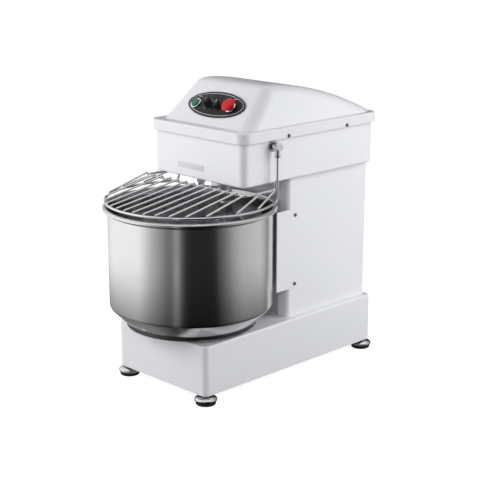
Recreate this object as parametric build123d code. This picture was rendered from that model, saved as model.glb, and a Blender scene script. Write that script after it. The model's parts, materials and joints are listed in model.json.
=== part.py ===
"""Commercial spiral dough mixer, 30 litre class, as separate pieces.

Working frame: X to the right, Y back from the base's front face, Z up from the floor, in mm.
Every piece is written in the part frame, whose origin is under the middle of the whole machine.
"""
from build123d import *
from math import acos, cos, degrees, hypot, pi, radians, sin, sqrt, tan
import os

# ---------------------------------------------------------------- driving sizes
SHEET = 2.0                 # housing sheet
RUN_GAP = 0.05              # radial clearance of a shaft in its bearing
SEAT_GAP = 0.3              # clearance between curved faces that pass each other

BASE_W = 320.0
BASE_D = 612.0
BASE_H = 125.5
BASE_CORNER_R = 15.0
FOOT_H = 26.0
FOOT_R = 28.0
FOOT_INSET = 18.0

COLUMN_W = 284.0
COLUMN_H = 363.5
COLUMN_SETBACK = 9.0        # column back, in front of the base back
HEAD_W = 320.0
HEAD_WALL_H = 106.0         # head wall that shows under the lid
HEAD_LEAD = 24.0            # head front, behind the bowl axis
HEAD_CORNER_R = 18.0

LID_OVERHANG = 8.9
SKIRT_H = 25.8
LID_WALL = 2.5
LID_H = 96.0                # dome height over the skirt
LID_LEDGE = 28.0            # ledge in front of the sloped face
SLOPE_DEG = 45.0
CREST_RUN = 40.0            # level stretch behind the sloped face
LID_BACK_H = 4.0            # dome height at its back edge
LID_SAG = 0.33              # share of the dome's fall that its top has lost halfway to the back
LID_SIDE_GAP = 5.0          # dome's foot, inside the head sides
LID_SIDE_LEAN = 0.28        # how far the dome's sides lean in, for each unit of height
LID_ROUND = 36.0            # rounding of the dome's edges

BOWL_R = 202.5
BOWL_WALL = 2.0
BOWL_H = 285.0              # from the bowl floor to the middle of the rim bead
BOWL_CHAMFER = 40.0
RIM_BEAD_R = 6.0
BOWL_Y = 104.0              # bowl axis
TURNTABLE_H = 9.0
TURNTABLE_LIFT = 6.5        # running gap over the base

HOOK_SWEEP_R = 70.0
HOOK_BAR_R = 11.0
HOOK_WALL_GAP = 10.0        # hook sweep to the bowl wall
HOOK_SHAFT_R = 15.0
HOOK_BOSS_WALL = 2.0        # the crank's boss outside the shaft
BREAKER_R = 8.0
BREAKER_THREAD_R = 6.0
BREAKER_GAP = 6.0           # breaker bar to the hook sweep

GUARD_WIRE_R = 3.0
CROSS_WIRE_R = 2.4
GUARD_LIFT = 12.2           # ring over the bowl rim
GUARD_STEP = 31.0           # inner frame over the ring
GUARD_SIDE_GAP = 7.5        # side wires to the lid skirt
GUARD_FRONT_GAP = 10.0      # back wire to the head front
CROSS_WIRES = 13

CHAIN_PITCH = 12.7
CHAIN_W = 8.0               # between the side plates
SPROCKET_T = 7.0
HOOK_TEETH = 30
MAIN_TOP_TEETH = 20
MAIN_LOW_TEETH = 12
JACK_BIG_TEETH = 36
JACK_SMALL_TEETH = 11
BOWL_TEETH = 44

MOTOR_R = 75.0
MOTOR_L = 248.0
MOTOR_SHAFT_R = 12.0
MOTOR_PULLEY_R = 25.0
DRIVEN_PULLEY_R = 100.0
BELT_W = 12.0
BELT_T = 8.0

PANEL_W = 192.0
PANEL_H = 76.0
PANEL_T = 3.0
PANEL_BAND = 4.0            # width of the panel's raised rim
PANEL_X = 5.0               # middle of the panel
PANEL_UP = 61.0             # middle of the panel, along the sloped face

HOOK_TURN = 205.0           # where the hook's upper crank points

# ---------------------------------------------------------------- derived places
BASE_TOP = FOOT_H + BASE_H
COLUMN_TOP = BASE_TOP + COLUMN_H
HEAD_SHOW_TOP = COLUMN_TOP + HEAD_WALL_H
SKIRT_TOP = HEAD_SHOW_TOP + SKIRT_H
HEAD_TOP = SKIRT_TOP - SHEET
FLOOR_T = 3.0               # head floor and base bottom plate
HEAD_FLOOR = COLUMN_TOP + FLOOR_T

BOWL_FLOOR = BASE_TOP + TURNTABLE_LIFT + TURNTABLE_H
RIM_Z = BOWL_FLOOR + BOWL_H
RIM_R = BOWL_R + RIM_BEAD_R
RIM_OUT_R = BOWL_R + 2 * RIM_BEAD_R
BOWL_IN_R = BOWL_R - BOWL_WALL

COLUMN_BACK = BASE_D - COLUMN_SETBACK
COLUMN_FRONT = BOWL_Y + BOWL_R - 4.5
RECESS_R = RIM_OUT_R + 11.5
HEAD_FRONT = BOWL_Y + HEAD_LEAD
HEAD_BACK = COLUMN_BACK
LID_W = HEAD_W + 2 * LID_OVERHANG
LID_DEEP = 50.0             # how far the dome's working solid goes down past the skirt top
LID_FRONT = HEAD_FRONT - LID_OVERHANG
LID_BACK = HEAD_BACK + LID_OVERHANG

HOOK_Y = BOWL_Y + BOWL_IN_R - HOOK_WALL_GAP - HOOK_SWEEP_R
BREAKER_Y = HOOK_Y - HOOK_SWEEP_R - BREAKER_GAP - BREAKER_R
MAIN_Y = BOWL_Y + RECESS_R + 56.0
MOTOR_Y = COLUMN_BACK - MOTOR_R - 12.0
JACK_X = 40.0
JACK_Y = BOWL_Y + (MAIN_Y - BOWL_Y) * 0.59

# heights of the drives
JACK_SMALL_Z = BASE_TOP - 82.0       # bowl chain level
JACK_BIG_Z = BASE_TOP - 50.0         # lower chain level
PULLEY_Z = HEAD_FLOOR + 47.0         # belt level
HOOK_CHAIN_Z = HEAD_FLOOR + 85.0     # upper chain level
SHAFT_R = 12.5
BEARING_W = 12.0
BEARING_T = 9.0                      # radial thickness of a ball bearing

GUARD_Z = RIM_Z + RIM_BEAD_R + GUARD_LIFT
GUARD_R = BOWL_R + 5.5
ARM_X = LID_W / 2 + GUARD_SIDE_GAP
ARM_Y = BOWL_Y + sqrt(GUARD_R**2 - ARM_X**2)
PIVOT_Y = ARM_Y + 11.0
PIVOT_Z = HEAD_SHOW_TOP - 15.5
PIVOT_FLANGE_R = 14.0
PIVOT_PIN_R = 5.0
PIN_END = ARM_X - GUARD_WIRE_R - 1.0
BACK_WIRE_Y = HEAD_FRONT - GUARD_FRONT_GAP
FRAME_Z = GUARD_Z + GUARD_STEP

# the part frame's origin, under the middle of the whole machine
FRONT_END = BOWL_Y - RIM_OUT_R
BACK_END = BASE_D - FOOT_INSET + FOOT_R
ORIGIN_Y = (FRONT_END + BACK_END) / 2


# ---------------------------------------------------------------- small helpers
def box(x, y, z):
    """A box between (low, high) pairs along X, Y and Z."""
    size = [high - low for low, high in (x, y, z)]
    middle = [(high + low) / 2 for low, high in (x, y, z)]
    return Pos(*middle) * Box(*size)


def rod(x, y, z0, z1, radius):
    """An upright cylinder from z0 to z1."""
    return Pos(x, y, z0) * Cylinder(radius, z1 - z0, align=(Align.CENTER, Align.CENTER, Align.MIN))


def pipe(x, y, z0, z1, outer, inner):
    """An upright tube from z0 to z1."""
    return rod(x, y, z0, z1, outer) - rod(x, y, z0, z1, inner)


def rod_x(y, z, x0, x1, radius):
    """A cylinder along X from x0 to x1."""
    low, high = sorted((x0, x1))
    return Pos((low + high) / 2, y, z) * Rot(0, 90, 0) * Cylinder(radius, high - low)


def bar(start, end, radius):
    """A straight round bar between two points."""
    line = Line(start, end)
    return sweep(Plane(origin=start, z_dir=line % 0) * Circle(radius), path=line)


def slab(width, y0, y1, z0, z1, corner):
    """An upright block with rounded vertical corners, centred on X = 0."""
    outline = Pos(0, (y0 + y1) / 2, z0) * RectangleRounded(width, y1 - y0, corner)
    return extrude(outline, z1 - z0)


def turned(x, y, points):
    """A piece turned about an upright axis from (radius, height) points."""
    profile = make_face(Plane.XZ * Polyline(*points, close=True))
    return Pos(x, y, 0) * revolve(profile, Axis.Z)


def loop_band(a, radius_a, b, radius_b, inset, outset, z0, z1):
    """A closed band that runs round two circles, from inset inside to outset outside them."""
    def hull(grow):
        rounds = Pos(*a) * Circle(radius_a + grow) + Pos(*b) * Circle(radius_b + grow)
        return make_hull(rounds.edges())

    return Pos(0, 0, z0) * extrude(hull(outset) - hull(-inset), z1 - z0)


def pitch_radius(teeth):
    return CHAIN_PITCH / (2 * sin(pi / teeth))


def tooth_reach(radius):
    """How far from the tangent point a chain pin clears the teeth of a sprocket."""
    return sqrt((radius + 6.5) ** 2 - radius**2)


def sprocket(x, y, z, teeth, bore, hub_r, hub_down=0.0, hub_up=0.0):
    """A chain sprocket, its plate centred on z, with a hub below or above."""
    radius = pitch_radius(teeth)
    plate = Circle(radius + 3.5) - PolarLocations(radius, teeth) * Circle(4.2)
    wheel = Pos(x, y, z - SPROCKET_T / 2) * extrude(plate, SPROCKET_T)
    wheel += rod(x, y, z - SPROCKET_T / 2 - hub_down, z + SPROCKET_T / 2 + hub_up, hub_r)
    return wheel - rod(x, y, z - 60, z + 60, bore)


def chain(a, teeth_a, b, teeth_b, z):
    """A roller chain: two side plate loops, with pins on the straight runs between the sprockets."""
    radius_a, radius_b = pitch_radius(teeth_a), pitch_radius(teeth_b)
    low = z - CHAIN_W / 2
    parts = loop_band(a, radius_a, b, radius_b, 4.5, 4.5, low - 1.2, low)
    parts += loop_band(a, radius_a, b, radius_b, 4.5, 4.5, low + CHAIN_W, low + CHAIN_W + 1.2)
    span = hypot(b[0] - a[0], b[1] - a[1])
    ahead = Vector(b[0] - a[0], b[1] - a[1]).normalized()
    lean = degrees(acos((radius_a - radius_b) / span))
    run = sqrt(span**2 - (radius_a - radius_b) ** 2)
    for side in (1, -1):
        out = ahead.rotate(Axis.Z, side * lean)
        start = Vector(*a) + out * radius_a
        along = (Vector(*b) + out * radius_b - start).normalized()
        first = tooth_reach(radius_a)
        count = int((run - first - tooth_reach(radius_b)) / CHAIN_PITCH)
        for step in range(count + 1):
            pin = start + along * (first + step * CHAIN_PITCH)
            parts += rod(pin.X, pin.Y, low - 1.2, low + CHAIN_W + 1.2, 2.2)
    return parts


def hex_bolt(x, y, z, shank, down, flip=False):
    """A hexagon bolt whose head stands on the face at z; its shank runs down, or up when flipped."""
    head = extrude(RegularPolygon(shank * 0.95, 6), shank * 0.65)
    bolt = head + Pos(0, 0, -down) * Cylinder(shank / 2, down, align=(Align.CENTER, Align.CENTER, Align.MIN))
    return Pos(x, y, z) * ((Rot(180, 0, 0) if flip else Rot(0, 0, 0)) * bolt)


def pan_screw(length):
    """A pan head screw: its head stands on Z = 0 and its shank runs down."""
    head = Pos(0, 0, 1.4) * Cylinder(4.5, 2.8)
    head = fillet(head.edges().group_by(Axis.Z)[-1], 1.6)
    head -= Pos(0, 0, 2.6) * Box(1.2, 6, 1.6)
    return head + Pos(0, 0, -length / 2) * Cylinder(2.4, length)


def save(name, shape):
    """Write one piece, or a group of separate solids, in the part frame."""
    moved = Pos(0, -ORIGIN_Y, 0) * shape
    solids = moved.solids()
    export_step(solids[0] if len(solids) == 1 else Compound(children=list(solids)), f"parts/{name}.step")


# ---------------------------------------------------------------- shared hole places
def foot_places():
    x = BASE_W / 2 - FOOT_INSET
    return [(sx * x, y) for sx in (-1, 1) for y in (FOOT_INSET, BASE_D - FOOT_INSET)]


def ring_places(x, y, radius, count, turn=45.0):
    angles = [radians(turn + 360 * k / count) for k in range(count)]
    return [(x + radius * cos(a), y + radius * sin(a)) for a in angles]


LID_SCREW_Y = (HEAD_FRONT + 144.5, HEAD_BACK - 116.5)
LID_SCREW_Z = HEAD_SHOW_TOP + 4.5
SHIELD_SCREW_Y = COLUMN_FRONT + 23.0
SHIELD_LOW, SHIELD_HIGH = BASE_TOP + 75.5, RIM_Z - 20.0
SHIELD_SCREW_Z = (SHIELD_LOW + 10.5, SHIELD_HIGH - 16.0)
COVER_W, COVER_LOW, COVER_HIGH = COLUMN_W - 64.0, BASE_TOP + 38.5, COLUMN_TOP - 35.0
COVER_SCREWS = [(sx * (COVER_W / 2 - 8), z) for sx in (-1, 1) for z in (COVER_LOW + 8, COVER_HIGH - 8)]
GLAND_X, GLAND_Z = -80.0, BASE_TOP + 19.0
GLAND_R = 8.0
BOWL_HUB_R = 34.0
HOUSING_R = 46.0
SMALL_HOUSING_R = 42.0
BOWL_BOLTS = ring_places(0, BOWL_Y, HOUSING_R - 8, 6)
HOOK_BOLTS = ring_places(0, HOOK_Y, HOUSING_R - 8, 4)
MAIN_BOLTS = ring_places(0, MAIN_Y, SMALL_HOUSING_R - 6, 4)
JACK_BOLTS = ring_places(JACK_X, JACK_Y, SMALL_HOUSING_R - 6, 4)
MOTOR_BOLTS = ring_places(0, MOTOR_Y, MOTOR_R + 10, 4)
TABLE_BOLTS = ring_places(0, BOWL_Y, 24, 4)


def drill(shape, places, z0, z1, radius):
    for x, y in places:
        shape -= rod(x, y, z0, z1, radius)
    return shape


# ---------------------------------------------------------------- base
def base_housing():
    outer = slab(BASE_W, 0, BASE_D, FOOT_H, BASE_TOP, BASE_CORNER_R)
    outer = fillet(outer.edges().group_by(Axis.Z)[-1], 5)
    inner = slab(BASE_W - 2 * SHEET, SHEET, BASE_D - SHEET, FOOT_H - 1, BASE_TOP - SHEET - 0.5,
                 BASE_CORNER_R - SHEET)
    shell = outer - fillet(inner.edges().group_by(Axis.Z)[-1], 3)
    low, high = BASE_TOP - 10, BASE_TOP + 10
    shell -= rod(0, BOWL_Y, low, high, BOWL_HUB_R + 2)
    shell -= rod(0, MAIN_Y, low, high, SHAFT_R + 3)
    shell = drill(shell, BOWL_BOLTS, low, high, 4)
    return drill(shell, JACK_BOLTS + MAIN_BOLTS, low, high, 3)


def base_bottom_plate():
    plate = slab(BASE_W - 2 * SHEET, SHEET, BASE_D - SHEET, FOOT_H + 2, FOOT_H + 2 + FLOOR_T,
                 BASE_CORNER_R - SHEET)
    for x, y in foot_places():
        plate += rod(x, y, FOOT_H + 2 + FLOOR_T, FOOT_H + 17, 11)
        plate -= rod(x, y, FOOT_H - 5, FOOT_H + 30, 6)
    return plate


def feet():
    studs, cups, pads = [], [], []
    for x, y in foot_places():
        studs.append(rod(x, y, 7, FOOT_H + 16, 6) + rod(x, y, 7, 9, 11))
        cup = turned(x, y, [(6, 9), (FOOT_R - 3, 9), (FOOT_R, 11), (FOOT_R, 14), (FOOT_R - 6, 19.5),
                            (16, 22), (12, 23), (12, FOOT_H + 2), (6, FOOT_H + 2)])
        cups.append(cup)
        pads.append(turned(x, y, [(0, 0), (FOOT_R - 6, 0), (FOOT_R - 3.5, 2), (FOOT_R - 3.5, 9),
                                  (11, 9), (11, 7), (0, 7)]))
    return studs, cups, pads


# ---------------------------------------------------------------- column
def column_housing():
    shell = slab(COLUMN_W, COLUMN_FRONT, COLUMN_BACK, BASE_TOP, COLUMN_TOP, 10)
    shell -= rod(0, BOWL_Y, BASE_TOP - 1, COLUMN_TOP + 1, RECESS_R)
    core = slab(COLUMN_W - 2 * SHEET, COLUMN_FRONT + SHEET, COLUMN_BACK - SHEET,
                BASE_TOP - 1, COLUMN_TOP + 1, 10 - SHEET)
    core -= rod(0, BOWL_Y, BASE_TOP - 2, COLUMN_TOP + 2, RECESS_R + SHEET)
    shell -= core
    shell -= box((12 - COVER_W / 2, COVER_W / 2 - 12), (COLUMN_BACK - 10, COLUMN_BACK + 5),
                 (COVER_LOW + 16, COVER_HIGH - 16))
    for x, z in COVER_SCREWS:
        shell -= Pos(x, COLUMN_BACK, z) * Rot(90, 0, 0) * Cylinder(2.4, 20)
    for z in SHIELD_SCREW_Z:
        shell -= rod_x(SHIELD_SCREW_Y, z, -COLUMN_W, COLUMN_W, 2.4)
    return shell - Pos(GLAND_X, COLUMN_BACK, GLAND_Z) * Rot(90, 0, 0) * Cylinder(9, 20)


def rear_cover():
    cover = box((-COVER_W / 2, COVER_W / 2), (COLUMN_BACK, COLUMN_BACK + 1.5), (COVER_LOW, COVER_HIGH))
    cover = fillet(cover.edges().filter_by(Axis.Y), 6)
    rows = int((COVER_HIGH - COVER_LOW - 90) / 16)
    for column in (-1, 1):
        for row in range(rows):
            z = COVER_LOW + 45 + 16 * row
            slot = SlotOverall(70, 5)
            cover -= Pos(column * 46, COLUMN_BACK + 5, z) * Rot(90, 0, 0) * extrude(slot, 20)
    for x, z in COVER_SCREWS:
        cover -= Pos(x, COLUMN_BACK, z) * Rot(90, 0, 0) * Cylinder(2.4, 20)
    return cover


def bowl_back_shield():
    """A bent plate: a web curved round the back of the bowl and a flange on each column side."""
    half = COLUMN_W / 2 + SHEET
    web_r = sqrt(half**2 + (COLUMN_FRONT - 39 - BOWL_Y) ** 2)
    web = pipe(0, BOWL_Y, SHIELD_LOW, SHIELD_HIGH, web_r, web_r - SHEET)
    edge_y = BOWL_Y + sqrt((web_r - SHEET) ** 2 - half**2)
    shield = web & box((-half, half), (edge_y, BOWL_Y + 2 * web_r), (SHIELD_LOW, SHIELD_HIGH))
    for side in (-1, 1):
        x = sorted((side * half, side * COLUMN_W / 2))
        flange = box(x, (edge_y, COLUMN_FRONT + 38), (SHIELD_LOW, SHIELD_HIGH))
        for z in SHIELD_SCREW_Z:
            flange -= rod_x(SHIELD_SCREW_Y, z, side * (half - 10), side * (half + 10), 2.4)
        shield += flange
    return shield


def cable_gland():
    """A cable entry bush in the column back, with its lock nut inside."""
    turn = Pos(GLAND_X, COLUMN_BACK, GLAND_Z) * Rot(-90, 0, 0)
    body = Cylinder(9, 28) + extrude(RegularPolygon(13, 6), 7)
    body += Pos(0, 0, 9) * Cylinder(11, 10)
    body = body & Pos(0, 0, 3) * Cylinder(30, 22)
    nut = Pos(0, 0, -SHEET - 4) * (extrude(RegularPolygon(12, 6), 4) - Cylinder(9, 20))
    low = Pos(0, 0, -SHEET) * Cylinder(30, 10, align=(Align.CENTER, Align.CENTER, Align.MAX))
    body = body - (low - Cylinder(9, 60))
    return turn * (body - Cylinder(GLAND_R, 80)), turn * nut


# ---------------------------------------------------------------- head
def head_housing():
    shell = slab(HEAD_W, HEAD_FRONT, HEAD_BACK, COLUMN_TOP, HEAD_TOP, HEAD_CORNER_R)
    shell = fillet(shell.edges().group_by(Axis.Z)[0], 4)
    shell -= slab(HEAD_W - 2 * SHEET, HEAD_FRONT + SHEET, HEAD_BACK - SHEET, HEAD_FLOOR, HEAD_TOP + 1,
                  HEAD_CORNER_R - SHEET)
    low, high = COLUMN_TOP - 5, HEAD_FLOOR + 5
    shell -= rod(0, HOOK_Y, low, high, HOOK_SHAFT_R + 3)
    shell -= rod(0, BREAKER_Y, low, high, BREAKER_THREAD_R)
    shell -= rod(0, MAIN_Y, low, high, SHAFT_R + 3)
    shell -= rod(0, MOTOR_Y, low, high, MOTOR_R + 2)
    shell = drill(shell, HOOK_BOLTS + MOTOR_BOLTS, low, high, 4)
    shell = drill(shell, MAIN_BOLTS, low, high, 3)
    for y in LID_SCREW_Y:
        shell -= rod_x(y, LID_SCREW_Z, -HEAD_W, HEAD_W, 2.4)
    return shell - rod_x(PIVOT_Y, PIVOT_Z, -HEAD_W, HEAD_W, PIVOT_PIN_R + 4)


def lid_body(inset):
    """The dome with sharp edges, carried on below the skirt, made smaller by inset on every side."""
    deep = SKIRT_TOP - LID_DEEP
    lean = radians(SLOPE_DEG)
    foot_y = LID_FRONT + LID_LEDGE
    top = SKIRT_TOP + LID_H - inset
    crest_y = foot_y + LID_H / tan(lean) + inset * tan(lean / 2)
    deep_y = foot_y + inset / sin(lean) - LID_DEEP / tan(lean)
    back_y = HEAD_BACK - inset
    far_y = crest_y + CREST_RUN
    drop = LID_H - LID_BACK_H
    outline = Polyline((back_y, top - drop), (back_y, deep), (deep_y, deep), (crest_y, top), (far_y, top))
    arc = ThreePointArc((far_y, top), ((far_y + back_y) / 2, top - drop * LID_SAG), (back_y, top - drop))
    along = extrude(make_face(Plane.YZ * (outline + arc)), HEAD_W, both=True)
    half = HEAD_W / 2 - LID_SIDE_GAP - inset * hypot(1, LID_SIDE_LEAN)
    low_half, top_half = half + LID_SIDE_LEAN * LID_DEEP, half - LID_SIDE_LEAN * LID_H
    front_view = Polyline((-low_half, deep), (-top_half, SKIRT_TOP + LID_H), (top_half, SKIRT_TOP + LID_H),
                          (low_half, deep), close=True)
    return along & extrude(make_face(Plane.XZ * front_view), -2 * HEAD_BACK, both=True)


def dome(inset):
    """The part of the dome over the skirt, its edges rounded but for its low back one."""
    body = lid_body(inset)
    edges = body.edges().filter_by(lambda e: e.center().Z > SKIRT_TOP + LID_BACK_H + 4)
    body = fillet(edges, LID_ROUND - inset)
    foot = SKIRT_TOP - (1 if inset == 0 else 6)
    return body & slab(HEAD_W, LID_FRONT, HEAD_BACK - inset, foot, SKIRT_TOP + LID_H, 2)


SLOPE = Plane(origin=(0, LID_FRONT + LID_LEDGE, SKIRT_TOP),
              x_dir=(1, 0, 0), z_dir=(0, -sin(radians(SLOPE_DEG)), cos(radians(SLOPE_DEG))))


def on_slope(x, up, out=0.0):
    """A place on the sloped face: x across, up along the face and out from it."""
    return SLOPE * Pos(x, up, out)


# controls: x across the panel and distance up the sloped face
START = (PANEL_X - 68, PANEL_UP - 5)
TIMER = (PANEL_X - 22, PANEL_UP - 4)
SELECTOR = (PANEL_X + 9, PANEL_UP - 4)
ESTOP = (PANEL_X + 52, PANEL_UP - 3)
SWITCH_R = 11.0             # threaded barrel of each control


def lid():
    skirt = slab(LID_W, LID_FRONT, LID_BACK, HEAD_SHOW_TOP, SKIRT_TOP, HEAD_CORNER_R + LID_OVERHANG)
    skirt = fillet(skirt.edges().group_by(Axis.Z)[-1], 3)
    skirt -= slab(LID_W - 2 * SHEET, LID_FRONT + SHEET, LID_BACK - SHEET, HEAD_SHOW_TOP - 1, HEAD_TOP,
                  HEAD_CORNER_R + LID_OVERHANG - SHEET)
    shell = skirt + dome(0) - dome(LID_WALL)
    for x, up in (START, TIMER, SELECTOR, ESTOP):
        shell -= on_slope(x, up) * Cylinder(SWITCH_R, 30)
    for y in LID_SCREW_Y:
        shell -= rod_x(y, LID_SCREW_Z, -LID_W, LID_W, 2.4)
    return shell


def lid_spacers():
    gap = (HEAD_W / 2, LID_W / 2 - SHEET)
    return [rod_x(y, LID_SCREW_Z, side * gap[0], side * gap[1], 4)
            - rod_x(y, LID_SCREW_Z, -LID_W, LID_W, 2.4) for side in (-1, 1) for y in LID_SCREW_Y]


def cover_screws():
    """Pan head screws of the lid, the bowl back shield and the rear cover."""
    screws = []
    for side in (-1, 1):
        aim = Rot(0, side * 90, 0)
        screws += [Pos(side * LID_W / 2, y, LID_SCREW_Z) * aim * pan_screw(16) for y in LID_SCREW_Y]
        x = side * (COLUMN_W / 2 + SHEET)
        screws += [Pos(x, SHIELD_SCREW_Y, z) * aim * pan_screw(8) for z in SHIELD_SCREW_Z]
    screws += [Pos(x, COLUMN_BACK + 1.5, z) * Rot(-90, 0, 0) * pan_screw(8) for x, z in COVER_SCREWS]
    return screws


def nameplate():
    plate = box((-70, 22), (HEAD_FRONT - 0.8, HEAD_FRONT), (COLUMN_TOP + 22, COLUMN_TOP + 36))
    return fillet(plate.edges().filter_by(Axis.Y), 3)


def pivot_flanges():
    """The turned bushes on the head sides that carry the guard's pins."""
    made = []
    for side in (-1, 1):
        face = side * HEAD_W / 2
        bush = rod_x(PIVOT_Y, PIVOT_Z, face, face + side * 3, PIVOT_FLANGE_R)
        bush += rod_x(PIVOT_Y, PIVOT_Z, face - side * 8, face + side * 7, PIVOT_PIN_R + 4)
        made.append(bush - rod_x(PIVOT_Y, PIVOT_Z, -HEAD_W, HEAD_W, PIVOT_PIN_R + RUN_GAP))
    return made


# ---------------------------------------------------------------- control panel
def control_panel():
    oval = Ellipse(PANEL_W / 2 - PANEL_BAND, PANEL_H / 2 - PANEL_BAND)
    plate = on_slope(PANEL_X, PANEL_UP) * extrude(oval, PANEL_T)
    for x, up in (START, TIMER, SELECTOR, ESTOP):
        plate -= on_slope(x, up) * Cylinder(SWITCH_R, 30)
    return plate


def panel_rim():
    ring = Ellipse(PANEL_W / 2, PANEL_H / 2) - Ellipse(PANEL_W / 2 - PANEL_BAND, PANEL_H / 2 - PANEL_BAND)
    return on_slope(PANEL_X, PANEL_UP) * extrude(ring, PANEL_T + 1)


def barrel(x, up, bore, deep=34.0):
    """A control's threaded barrel through the lid, with its contact block behind."""
    body = Cylinder(SWITCH_R, deep, align=(Align.CENTER, Align.CENTER, Align.MAX))
    block = Box(30, 30, 26, align=(Align.CENTER, Align.CENTER, Align.MAX))
    body = Pos(0, 0, PANEL_T) * body + Pos(0, 0, PANEL_T - deep + 4) * block
    hole = Pos(0, 0, PANEL_T) * Cylinder(bore, 24, align=(Align.CENTER, Align.CENTER, Align.MAX))
    return on_slope(x, up) * (body - hole)


def switch_bodies():
    return [barrel(*place, 6.0) for place in (START, TIMER, SELECTOR, ESTOP)]


def collar(x, up, outer, inner, height):
    ring = Cylinder(outer, height, align=(Align.CENTER, Align.CENTER, Align.MIN))
    ring = fillet(ring.edges().group_by(Axis.Z)[-1], 1.2)
    return on_slope(x, up, PANEL_T) * (ring - Cylinder(inner, 3 * height))


def start_button():
    """A domed lens with a stem that slides in the barrel."""
    lens = Pos(0, 0, 2.2) * Cylinder(10.4, 6, align=(Align.CENTER, Align.CENTER, Align.MIN))
    lens = fillet(lens.edges().group_by(Axis.Z)[-1], 2)
    stem = Pos(0, 0, -14) * Cylinder(6 - SEAT_GAP, 16.5, align=(Align.CENTER, Align.CENTER, Align.MIN))
    return on_slope(*START, PANEL_T) * (lens + stem)


def knob(place, radius, height, grip):
    """A knob: a skirt, a tapered body and a raised grip bar with a pointer groove."""
    lift = 0.4
    skirt = Pos(0, 0, lift) * Cylinder(radius, 4, align=(Align.CENTER, Align.CENTER, Align.MIN))
    body = Pos(0, 0, lift + 4) * Cone(radius * 0.82, radius * 0.72, height - 4,
                                      align=(Align.CENTER, Align.CENTER, Align.MIN))
    body = fillet(body.edges().group_by(Axis.Z)[-1], 1.5)
    fin = Box(grip, radius * 1.9, height - 5, align=(Align.CENTER, Align.CENTER, Align.MIN))
    turned_knob = skirt + body + Pos(0, 0, lift + 4) * fin
    stem = Pos(0, 0, -14) * Cylinder(6 - SEAT_GAP, 16, align=(Align.CENTER, Align.CENTER, Align.MIN))
    return on_slope(*place, PANEL_T) * (turned_knob + stem)


def estop_button():
    """A mushroom push button with a neck and a stem."""
    cap = Pos(0, 0, 10.5) * Cylinder(18.5, 8, align=(Align.CENTER, Align.CENTER, Align.MIN))
    cap = fillet(cap.edges().group_by(Axis.Z)[-1], 5)
    neck = Pos(0, 0, 5.5) * Cylinder(9, 6, align=(Align.CENTER, Align.CENTER, Align.MIN))
    stem = Pos(0, 0, -12) * Cylinder(6 - SEAT_GAP, 20, align=(Align.CENTER, Align.CENTER, Align.MIN))
    return on_slope(*ESTOP, PANEL_T) * (cap + neck + stem)


# ---------------------------------------------------------------- bowl
def bowl():
    floor_r = BOWL_R - BOWL_CHAMFER
    slant = BOWL_WALL * tan(radians(22.5))
    z0, wall = BOWL_FLOOR, BOWL_WALL
    body = turned(0, BOWL_Y, [(0, z0), (floor_r, z0), (BOWL_R, z0 + BOWL_CHAMFER), (BOWL_R, RIM_Z),
                              (BOWL_R - wall, RIM_Z), (BOWL_R - wall, z0 + BOWL_CHAMFER + slant),
                              (floor_r - slant, z0 + wall), (0, z0 + wall)])
    bead = Pos(0, BOWL_Y, RIM_Z) * Torus(RIM_R - 0.5, RIM_BEAD_R + 0.5)
    body += bead & rod(0, BOWL_Y, RIM_Z - 20, RIM_Z + 20, RIM_OUT_R)
    return drill(body, TABLE_BOLTS, z0 - 5, z0 + 10, 4)


def turntable():
    z0, z1 = BASE_TOP + TURNTABLE_LIFT, BOWL_FLOOR
    plate = rod(0, BOWL_Y, z0, z1, BOWL_R - BOWL_CHAMFER)
    plate = chamfer(plate.edges().group_by(Axis.Z)[0], 1.5)
    return drill(plate - rod(0, BOWL_Y, z0 - 1, z1 + 1, SHAFT_R), TABLE_BOLTS, z0 - 5, z1 + 5, 4)


def bowl_shaft():
    """A stepped shaft: a flange under the turntable, bearing seats and the sprocket seat."""
    z1 = BASE_TOP + TURNTABLE_LIFT
    shaft = rod(0, BOWL_Y, JACK_SMALL_Z - 12, BOWL_FLOOR, SHAFT_R)
    shaft += rod(0, BOWL_Y, z1 - 6, z1, BOWL_HUB_R - 2)
    return drill(shaft, TABLE_BOLTS, z1 - 10, z1 + 1, 4)


def bowl_bolts():
    return [hex_bolt(x, y, BOWL_FLOOR + BOWL_WALL, 8, 17.5) for x, y in TABLE_BOLTS]


# ---------------------------------------------------------------- hook and breaker bar
def spiral_hook():
    """The drive shaft and, below it, a crank arm, one turn of spiral bar and a return arm."""
    coil_r = HOOK_SWEEP_R - HOOK_BAR_R - 1
    bottom = BOWL_FLOOR + BOWL_WALL + HOOK_BAR_R + 6
    low = BOWL_FLOOR + BOWL_CHAMFER + 8
    high = low + 175
    top = RIM_Z - 20
    wire = Pos(0, 0, low) * Helix(high - low, high - low, coil_r)
    hook = sweep(Plane(origin=wire @ 0, z_dir=wire % 0) * Circle(HOOK_BAR_R), path=wire, is_frenet=True)
    toe = (16, -14, bottom)
    ends = ((wire @ 1, (0, 0, top - 12)), (wire @ 0, toe))
    for end, inner in ends:
        joint = Pos(*end) * Sphere(HOOK_BAR_R + 1)
        hook += joint + bar(tuple(end), inner, HOOK_BAR_R - 0.5)
    hook += Pos(*toe) * Sphere(HOOK_BAR_R - 0.5)
    hook += rod(0, 0, top - 30, top + 6, HOOK_SHAFT_R + HOOK_BOSS_WALL)
    hook += rod(0, 0, top, HOOK_CHAIN_Z + 14, HOOK_SHAFT_R)
    return Pos(0, HOOK_Y, 0) * Rot(0, 0, HOOK_TURN) * hook


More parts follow.
